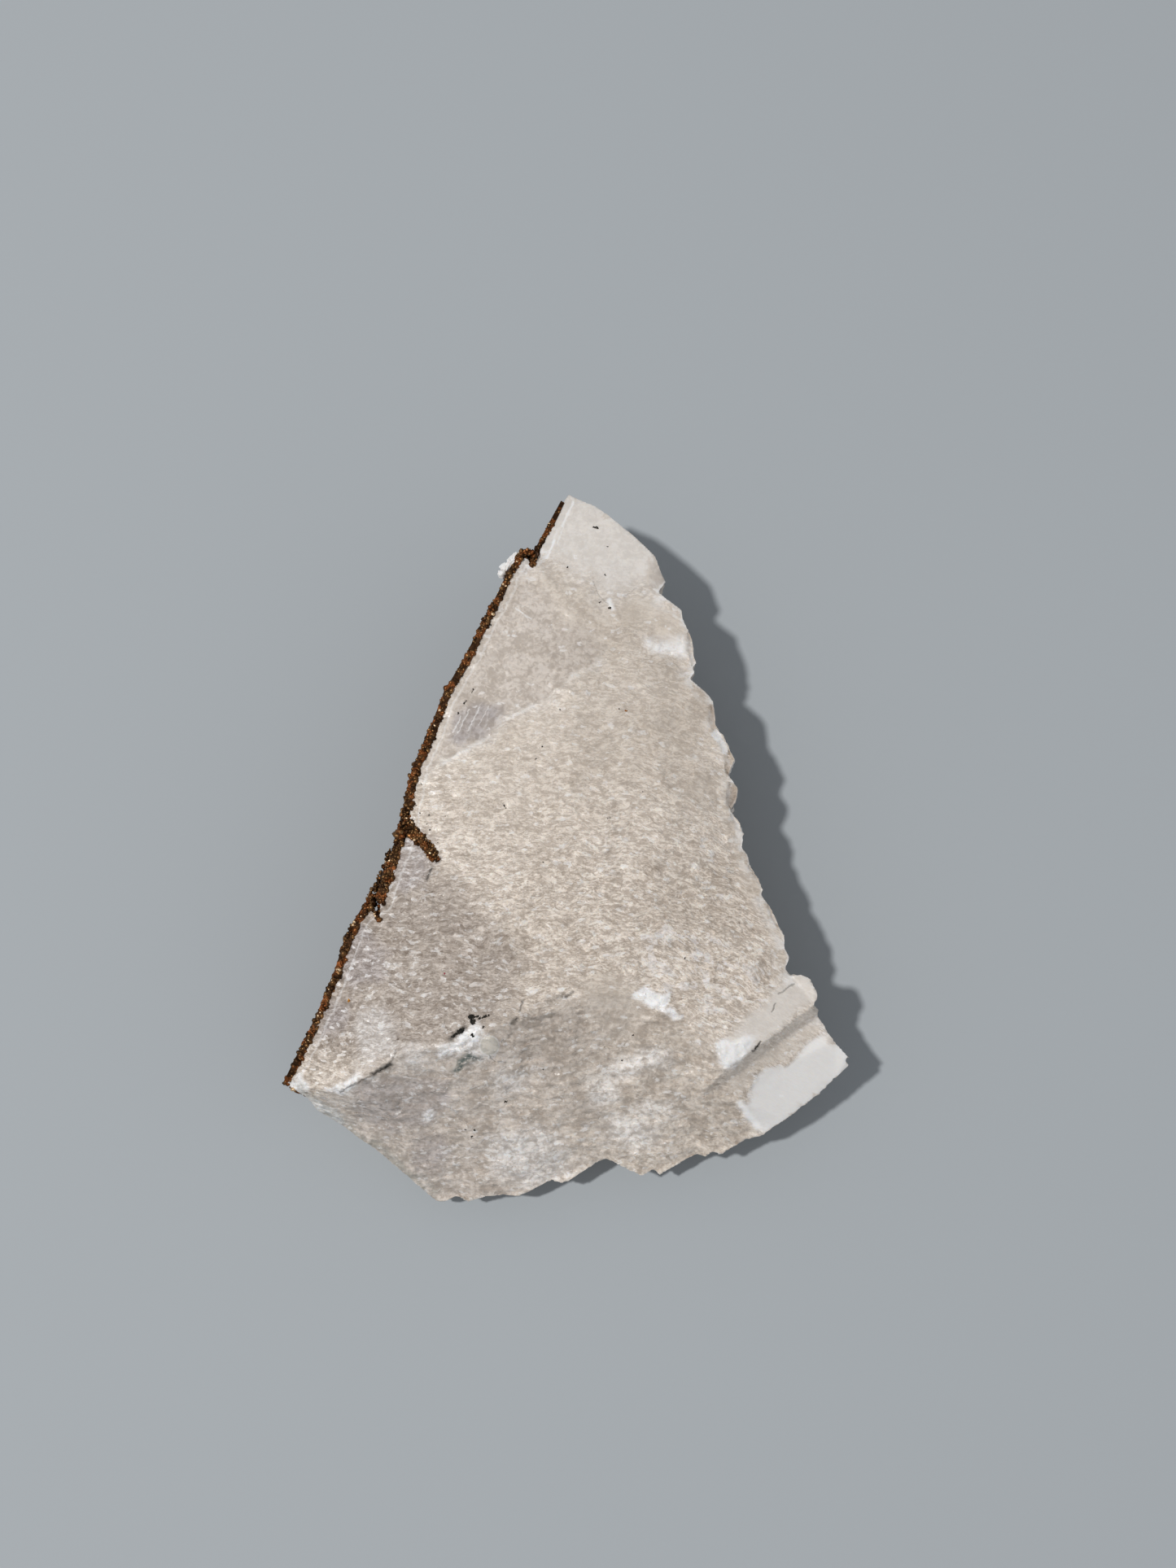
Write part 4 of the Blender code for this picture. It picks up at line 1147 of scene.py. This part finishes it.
def fine_line_group():
    """A soft line between two points: 1 on it and 0 beyond its half width."""
    group, given, out = new_group(
        "fine_line",
        [("Place", "NodeSocketVector", None), ("From", "NodeSocketVector", None),
         ("To", "NodeSocketVector", None), ("Half Width", "NodeSocketFloat", 0.1)],
        [("Mask", "NodeSocketFloat")],
    )
    along = vectors(group, "SUBTRACT", given["To"], given["From"])
    off = vectors(group, "SUBTRACT", given["Place"], given["From"])
    reach = vectors(group, "DOT_PRODUCT", off, along)
    whole = vectors(group, "DOT_PRODUCT", along, along)
    share = maths(group, "DIVIDE", reach, whole, clamp=True)
    gap = vectors(group, "DISTANCE", off, vectors(group, "SCALE", along, share))
    inner = scaled(group, given["Half Width"], 0.1)
    outer = scaled(group, given["Half Width"], 1.9)
    group.links.new(ramp(group, gap, outer, inner), out.inputs["Mask"])
    return group


def fine_lines(tree, place, rows):
    """The strongest of the fine lines at that place."""
    total = 0.0
    for *ends, half_width, strength in rows:
        line = place_group(
            tree, GROUPS["line"], Place=place, From=(*ends[:2], 0.0), To=(*ends[2:], 0.0),
            Half_Width=half_width,
        )
        total = maths(tree, "MAXIMUM", total, scaled(tree, line["Mask"], strength))
    return total


def point_in_mm(tree):
    """The object's own coordinates in millimetres."""
    return vectors(tree, "SCALE", add(tree, "ShaderNodeTexCoord").outputs["Object"], 1.0 / MM)


CREAM = (0.665, 0.590, 0.512, 1.0)
PALE_CREAM = (0.80, 0.735, 0.66, 1.0)
DEEP_CREAM = (0.46, 0.395, 0.325, 1.0)
LILAC_GREY = (0.405, 0.362, 0.345, 1.0)
FROST_WHITE = (0.95, 0.94, 0.935, 1.0)
MILK_WHITE = (0.875, 0.87, 0.868, 1.0)
GREEN_GREY = (0.34, 0.345, 0.31, 1.0)
TAN = (0.425, 0.365, 0.307, 1.0)
STAIN_GREY = (0.10, 0.125, 0.115, 1.0)
CRACK_BROWN = (0.045, 0.038, 0.030, 1.0)
GLINT_WHITE = (0.98, 0.965, 0.96, 1.0)
VIOLET_WHITE = (1.0, 0.965, 0.96, 1.0)
BLEB_GREY = (0.62, 0.585, 0.52, 1.0)
# The colour is multiplied by these. On the woolly ridges of the break they are painted shade in
# the hollows and painted light on the crests; on the flakes and blotches they are random tone.
HOLLOW_SHADE_AND_DARK_TONE = (0.74, 0.705, 0.68, 1.0)
CREST_LIGHT_AND_PALE_TONE = (1.34, 1.36, 1.39, 1.0)


def calcite_fields(tree):
    """The masks and noises that the steps of the calcite's finish share."""
    place = point_in_mm(tree)
    grain = attribute(tree, "grain_place", "Vector")
    broken = attribute(tree, "broken")
    waxy = attribute(tree, "waxy")
    whitened = attribute(tree, "whitened")
    plain = maths(tree, "SUBTRACT", 1.0, attribute(tree, "smooth_growth"))
    rough = maths(tree, "MULTIPLY", broken, plain)
    woolly = maths(tree, "MULTIPLY", rough, maths(tree, "MULTIPLY_ADD", waxy, -0.7, 1.0))
    woolly = maths(tree, "MULTIPLY", woolly, maths(tree, "MULTIPLY_ADD", whitened, -0.65, 1.0))
    ridges = place_group(tree, GROUPS["woolly"], Place=grain, Length=1.35, Width=0.56, Twist=1.5)
    threads = place_group(tree, GROUPS["woolly"], Place=grain, Length=0.62, Width=0.28, Twist=1.5)
    return {
        "place": place, "grain": grain, "broken": broken, "waxy": waxy, "whitened": whitened,
        "rough": rough, "woolly": woolly,
        "patch": soft_noise(tree, place, 0.55, 4.0, 0.5),
        "speck": soft_noise(tree, place, 2.2, 4.0, 0.6),
        "wool": maths(tree, "MULTIPLY_ADD", ridges["Tone"], 0.5, scaled(tree, threads["Tone"], 0.5)),
    }


def zone_tones(tree, fields):
    """The broad tones of the calcite, with its tanned, grey, pale and white zones."""
    patch = fields["patch"]
    cloud = soft_noise(tree, fields["place"], 0.14, 4.0)
    body = blend(tree, ramp(tree, cloud, 0.35, 0.65), DEEP_CREAM, PALE_CREAM)
    body = blend(tree, 0.80, body, CREAM)
    uneven = maths(tree, "MULTIPLY_ADD", patch, 1.1, 0.45)
    tanned = maths(tree, "MULTIPLY", attribute(tree, "tanned"), uneven, clamp=True)
    body = blend(tree, tanned, body, TAN)
    clear = maths(tree, "MULTIPLY", ramp(tree, patch, 0.46, 0.34), fields["rough"])
    body = blend(tree, scaled(tree, clear, 0.40), body, TAN)
    greyed = maths(tree, "MULTIPLY", attribute(tree, "greyed"), uneven, clamp=True)
    body = blend(tree, greyed, body, LILAC_GREY)
    body = blend(tree, attribute(tree, "paled"), body, MILK_WHITE)
    # The white here also holds the painted highlights on the rim's crystal ends.
    sugar = maths(tree, "MULTIPLY_ADD", ramp(tree, fields["speck"], 0.35, 0.62), 0.32, 0.76)
    return blend(tree, maths(tree, "MULTIPLY", fields["whitened"], sugar), body, FROST_WHITE)


def with_texture(tree, fields, body):
    """Woolly ridges on the break, with painted shade in their hollows and painted light on their crests, and
    blotches of random tone where it is waxy and on the sides.
    """
    # Painted shade in the ridges' hollows and painted light on their crests.
    shade = blend(tree, ramp(tree, fields["wool"], 0.425, 0.62), HOLLOW_SHADE_AND_DARK_TONE, CREST_LIGHT_AND_PALE_TONE)
    body = blend(tree, scaled(tree, fields["woolly"], 0.9), body, shade, "MULTIPLY")
    # Blotches of random tone.
    blotches = maths(tree, "MULTIPLY_ADD", fields["patch"], 0.8, fields["speck"])
    shade = blend(tree, ramp(tree, blotches, 0.74, 1.08), HOLLOW_SHADE_AND_DARK_TONE, CREST_LIGHT_AND_PALE_TONE)
    waxy = maths(tree, "MULTIPLY_ADD", fields["waxy"], 0.6, 0.45)
    return blend(tree, maths(tree, "MULTIPLY_ADD", fields["broken"], -0.45, waxy), body, shade, "MULTIPLY")


def with_edges(tree, fields, body):
    """Growth lines along the wall, painted light along the right rim's thin edges and in a patchy band inside
    them, and a green-grey edge at the lower left.
    """
    patch, broken = fields["patch"], fields["broken"]
    wall = attribute(tree, "wall_distance")
    rim = attribute(tree, "rim_distance")
    band = maths(tree, "SINE", maths(tree, "MULTIPLY_ADD", wall, 5.2, scaled(tree, patch, 6.0)))
    near_wall = maths(tree, "MULTIPLY", ramp(tree, wall, 2.8, 0.4), broken)
    lined = maths(tree, "MAXIMUM", near_wall, scaled(tree, attribute(tree, "striated"), 0.4))
    lines = maths(tree, "MULTIPLY", ramp(tree, band, 0.72, 0.98), scaled(tree, lined, 0.34))
    body = blend(tree, lines, body, FROST_WHITE)
    # Painted light on the thin edges of the right rim, and in a broader patchy band inside them.
    thin = maths(tree, "MULTIPLY", ramp(tree, rim, 0.34, 0.08), broken)
    body = blend(tree, scaled(tree, thin, 0.5), body, FROST_WHITE)
    painted_rim_light = maths(tree, "MULTIPLY", ramp(tree, rim, 1.9, 0.3), broken)
    painted_rim_light = maths(tree, "MULTIPLY", painted_rim_light, ramp(tree, patch, 0.46, 0.60))
    body = blend(tree, scaled(tree, painted_rim_light, 0.45), body, MILK_WHITE)
    edge = maths(tree, "MULTIPLY", ramp(tree, attribute(tree, "break_distance"), 1.5, 0.2), broken)
    edge = maths(tree, "MULTIPLY", edge, scaled(tree, ramp(tree, patch, 0.62, 0.42), 0.5))
    return blend(tree, edge, body, GREEN_GREY)


def with_flakes(tree, fields, body):
    """Flat flakes that catch the light: small granules, and large violet ones in one zone.

    Gives the colour, the normal, and masks for the granules' glints and their random tone. The
    glints and the violet sheen are painted highlights in the colour.
    """
    patch, rough, speck = fields["patch"], fields["rough"], fields["speck"]
    stretched = vectors(tree, "MULTIPLY", fields["grain"], (0.78, 1.55, 1.2))
    granule = place_group(
        tree, GROUPS["flakes"], Place=stretched, Size=0.5, Ragged=0.12,
        Tilt=maths(tree, "MULTIPLY_ADD", rough, 0.42, 0.03), Normal=face_normal(tree),
    )
    large_flaked = maths(tree, "MULTIPLY", attribute(tree, "large_flaked"), fields["broken"])
    large = place_group(
        tree, GROUPS["flakes"], Place=stretched, Size=1.1, Ragged=0.10,
        Tilt=scaled(tree, large_flaked, 0.35), Normal=granule["Normal"],
    )
    shade = blend(tree, granule["Tone"], HOLLOW_SHADE_AND_DARK_TONE, CREST_LIGHT_AND_PALE_TONE)
    body = blend(tree, scaled(tree, fields["woolly"], 0.62), body, shade, "MULTIPLY")
    granular = maths(tree, "MULTIPLY", attribute(tree, "granular"), ramp(tree, patch, 0.40, 0.60))
    common = maths(tree, "MULTIPLY_ADD", granular, 0.10, scaled(tree, rough, 0.10))
    glint = maths(tree, "GREATER_THAN", granule["Tone"], maths(tree, "SUBTRACT", 1.0, common))
    glint = maths(tree, "MULTIPLY", glint, ramp(tree, speck, 0.38, 0.58))
    # The glints: painted highlights on a few granules.
    body = blend(tree, scaled(tree, glint, 0.46), body, GLINT_WHITE)
    # The sheen of the large flakes: painted highlights too.
    common = maths(tree, "MULTIPLY", large_flaked, scaled(tree, ramp(tree, patch, 0.36, 0.56), 0.62))
    sheen = maths(tree, "GREATER_THAN", large["Tone"], maths(tree, "SUBTRACT", 1.0, common))
    sheen = maths(tree, "MULTIPLY", sheen, ramp(tree, speck, 0.32, 0.52))
    body = blend(tree, scaled(tree, sheen, 0.42), body, VIOLET_WHITE)
    return body, large["Normal"], glint, granule["Tone"]


def with_marks(tree, fields, body):
    """The round bleb, fine pale lines, the stain and the cracks, each in its own place."""
    broken = fields["broken"]
    sight = attribute(tree, "sight_place", "Vector")
    waver = add(tree, "ShaderNodeTexNoise", {"Vector": sight, "Scale": 2.4, "Detail": 3.0})
    waver = vectors(tree, "SUBTRACT", waver.outputs["Color"], MIDDLE_GREY)
    wavy = vectors(tree, "ADD", sight, vectors(tree, "MULTIPLY", waver, (0.5, 0.5, 0.0)))
    reach = vectors(tree, "DISTANCE", sight, ROUND_LUMP)
    disc = ramp(tree, reach, ROUND_LUMP_RADIUS + 0.05, ROUND_LUMP_RADIUS - 0.1)
    body = blend(tree, scaled(tree, disc, 0.8), body, BLEB_GREY)
    ring = maths(tree, "ABSOLUTE", maths(tree, "SUBTRACT", reach, ROUND_LUMP_RADIUS - 0.05))
    body = blend(tree, scaled(tree, ramp(tree, ring, 0.14, 0.02), 0.35), body, FROST_WHITE)
    pale = maths(tree, "MULTIPLY", fine_lines(tree, wavy, PALE_STREAKS), broken)
    body = blend(tree, pale, body, FROST_WHITE)
    stain = maths(tree, "MULTIPLY", attribute(tree, "stained"), ramp(tree, fields["speck"], 0.72, 0.48))
    body = blend(tree, stain, body, STAIN_GREY)
    dark = maths(tree, "MULTIPLY", fine_lines(tree, wavy, DARK_STREAKS), broken)
    return blend(tree, dark, body, CRACK_BROWN)


def calcite_material():
    material, tree = new_material("milky_calcite")
    fields = calcite_fields(tree)
    rough = fields["rough"]
    body = zone_tones(tree, fields)
    body = with_texture(tree, fields, body)
    body = with_edges(tree, fields, body)
    body, flake_normal, glint, flake_tone = with_flakes(tree, fields, body)
    body = with_marks(tree, fields, body)
    bump = add(tree, "ShaderNodeBump", {
        "Height": maths(tree, "MULTIPLY_ADD", fields["wool"], fields["woolly"],
                        scaled(tree, fields["speck"], 0.35)),
        "Strength": maths(tree, "MULTIPLY_ADD", rough, 0.8, 0.12),
        "Distance": 0.16 * MM, "Normal": flake_normal,
    })
    # Some granules are polished, and so are all that glint.
    polish = maths(tree, "GREATER_THAN", maths(tree, "FRACT", scaled(tree, flake_tone, 13.0)), 0.72)
    polish = maths(tree, "MAXIMUM", maths(tree, "MULTIPLY", polish, rough), glint)
    roughness = maths(tree, "MULTIPLY_ADD", rough, 0.12, 0.36)
    shader = add(tree, "ShaderNodeBsdfPrincipled", {
        "Base Color": body, "Roughness": maths(tree, "MULTIPLY_ADD", polish, -0.22, roughness),
        "Normal": bump.outputs[0], "IOR": 1.5,
        "Subsurface Weight": 0.3, "Subsurface Radius": (1.0, 0.85, 0.68),
        "Subsurface Scale": 0.8 * MM,
    })
    add(tree, "ShaderNodeOutputMaterial", {"Surface": shader.outputs[0]})
    return material


def frosted_calcite_material():
    material, tree = new_material("frosted_calcite")
    place = point_in_mm(tree)
    flake = place_group(
        tree, GROUPS["flakes"], Place=place, Size=0.3, Ragged=0.0, Tilt=0.25, Normal=face_normal(tree),
    )
    shader = add(tree, "ShaderNodeBsdfPrincipled", {
        "Base Color": blend(tree, flake["Tone"], (0.86, 0.82, 0.80, 1.0), FROST_WHITE),
        "Roughness": maths(tree, "MULTIPLY_ADD", flake["Tone"], 0.2, 0.35),
        "Normal": flake["Normal"], "IOR": 1.5, "Subsurface Weight": 0.4,
        "Subsurface Radius": (1.0, 0.9, 0.8), "Subsurface Scale": 0.5 * MM,
    })
    add(tree, "ShaderNodeOutputMaterial", {"Surface": shader.outputs[0]})
    return material


def grain_material(name, dark, bright, glint, rust, metallic, dullness):
    """Small dark crystals, each with its own tone from dark to bright; a few get a painted glint, patches are
    rusty.
    """
    material, tree = new_material(name)
    place = point_in_mm(tree)
    tone = attribute(tree, "crystal_tone")
    tarnish = soft_noise(tree, place, 1.1, 3.0)
    flake = place_group(
        tree, GROUPS["flakes"], Place=place, Size=0.18, Ragged=0.0, Tilt=0.3, Normal=face_normal(tree),
    )
    share = maths(tree, "MULTIPLY_ADD", tone, 0.75, scaled(tree, tarnish, 0.5))
    body = blend(tree, ramp(tree, share, 0.35, 1.05), dark, bright)
    body = blend(tree, scaled(tree, ramp(tree, tarnish, 0.50, 0.60), 0.6), body, rust)
    # A few crystals get the glint colour: a painted highlight.
    few = maths(tree, "GREATER_THAN", tone, 0.972)
    body = blend(tree, few, body, glint)
    shader = add(tree, "ShaderNodeBsdfPrincipled", {
        "Base Color": body, "Metallic": metallic, "Normal": flake["Normal"],
        "Roughness": maths(tree, "MULTIPLY_ADD", tone, -0.2, dullness), "IOR": 1.4,
    })
    add(tree, "ShaderNodeOutputMaterial", {"Surface": shader.outputs[0]})
    return material


GROUPS = {"flakes": flake_group(), "woolly": woolly_group(), "line": fine_line_group()}

calcite = make_calcite()

crystal = crystal_shape()
druse_finish = grain_material(
    "bronze_marcasite", (0.040, 0.017, 0.006, 1.0), (0.29, 0.155, 0.062, 1.0),
    (0.85, 0.62, 0.38, 1.0), (0.27, 0.085, 0.022, 1.0), 0.8, 0.55,
)
cad_surface = surface_of(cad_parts["calcite_body"].data)
face_surface = surface_of(calcite.data)
upright = upright_faces(calcite.data, np.random.default_rng(100))
for seed, (name, node) in enumerate(DRUSE_NODES.items(), start=101):
    druse = make_druse(name, node, seed, druse_finish, crystal, cad_surface, face_surface, upright)

# Each kind of grain: its rows, its dark and bright colour and how metallic it is.
GRAIN_KINDS = {
    "dark_grains": (DARK_GRAINS, (0.006, 0.006, 0.004, 1.0), (0.035, 0.028, 0.018, 1.0), 0.0),
    "rusty_grains": (RUSTY_GRAINS, (0.30, 0.10, 0.01, 1.0), (0.62, 0.30, 0.03, 1.0), 0.0),
    "red_grains": (RED_GRAINS, (0.34, 0.03, 0.06, 1.0), (0.50, 0.08, 0.10, 1.0), 0.0),
    "coppery_grains": (COPPERY_GRAINS, (0.45, 0.12, 0.03, 1.0), (0.95, 0.45, 0.25, 1.0), 0.8),
}
for seed, (name, (rows, dark, bright, metallic)) in enumerate(GRAIN_KINDS.items(), start=201):
    finish = grain_material(f"{name}_finish", dark, bright, bright, dark, metallic, 0.7)
    grains = make_grains(name, rows, seed, finish, crystal, face_surface)

bud = make_bud(301, frosted_calcite_material())


# Floor, lights and camera

def make_floor():
    mesh = bpy.data.meshes.new("floor")
    half = 0.6
    corners = [(-half, -half, 0.0), (half, -half, 0.0), (half, half, 0.0), (-half, half, 0.0)]
    mesh.from_pydata(corners, [], [(0, 1, 2, 3)])
    material, tree = new_material("pale_floor")
    shader = add(tree, "ShaderNodeBsdfPrincipled", {"Base Color": (0.40, 0.43, 0.455, 1.0), "Roughness": 0.8})
    add(tree, "ShaderNodeOutputMaterial", {"Surface": shader.outputs[0]})
    mesh.materials.append(material)
    new_object("floor", mesh)


def add_light(name, direction, distance, size, power, colour):
    light = bpy.data.lights.new(name, "AREA")
    light.shape = "DISK"
    light.size = size
    light.energy = power
    light.color = colour
    lamp = new_object(name, light)
    way = Vector(direction).normalized()
    lamp.location = way * distance
    lamp.rotation_euler = way.to_track_quat("Z", "Y").to_euler()


make_floor()
add_light("key", (-0.36, -0.06, 0.93), 1.0, 0.05, 6.0, (1.0, 0.985, 0.96))

world = bpy.data.worlds.new("studio")
world.use_nodes = True
world.node_tree.nodes["Background"].inputs["Color"].default_value = (0.93, 0.96, 1.0, 1.0)
world.node_tree.nodes["Background"].inputs["Strength"].default_value = 0.37
scene = bpy.context.scene
scene.world = world
scene.view_settings.view_transform = "Standard"

camera = bpy.data.cameras.new("camera")
camera.sensor_width = 36.0
camera.lens = PIXELS_PER_MM * SIGHT_DISTANCE / PHOTO_HEIGHT * camera.sensor_width
camera.clip_start = 0.01
viewer = new_object("camera", camera)
viewer.location = EYE * MM
viewer.rotation_euler = (SIGHT_TILT, 0.0, 0.0)
scene.camera = viewer
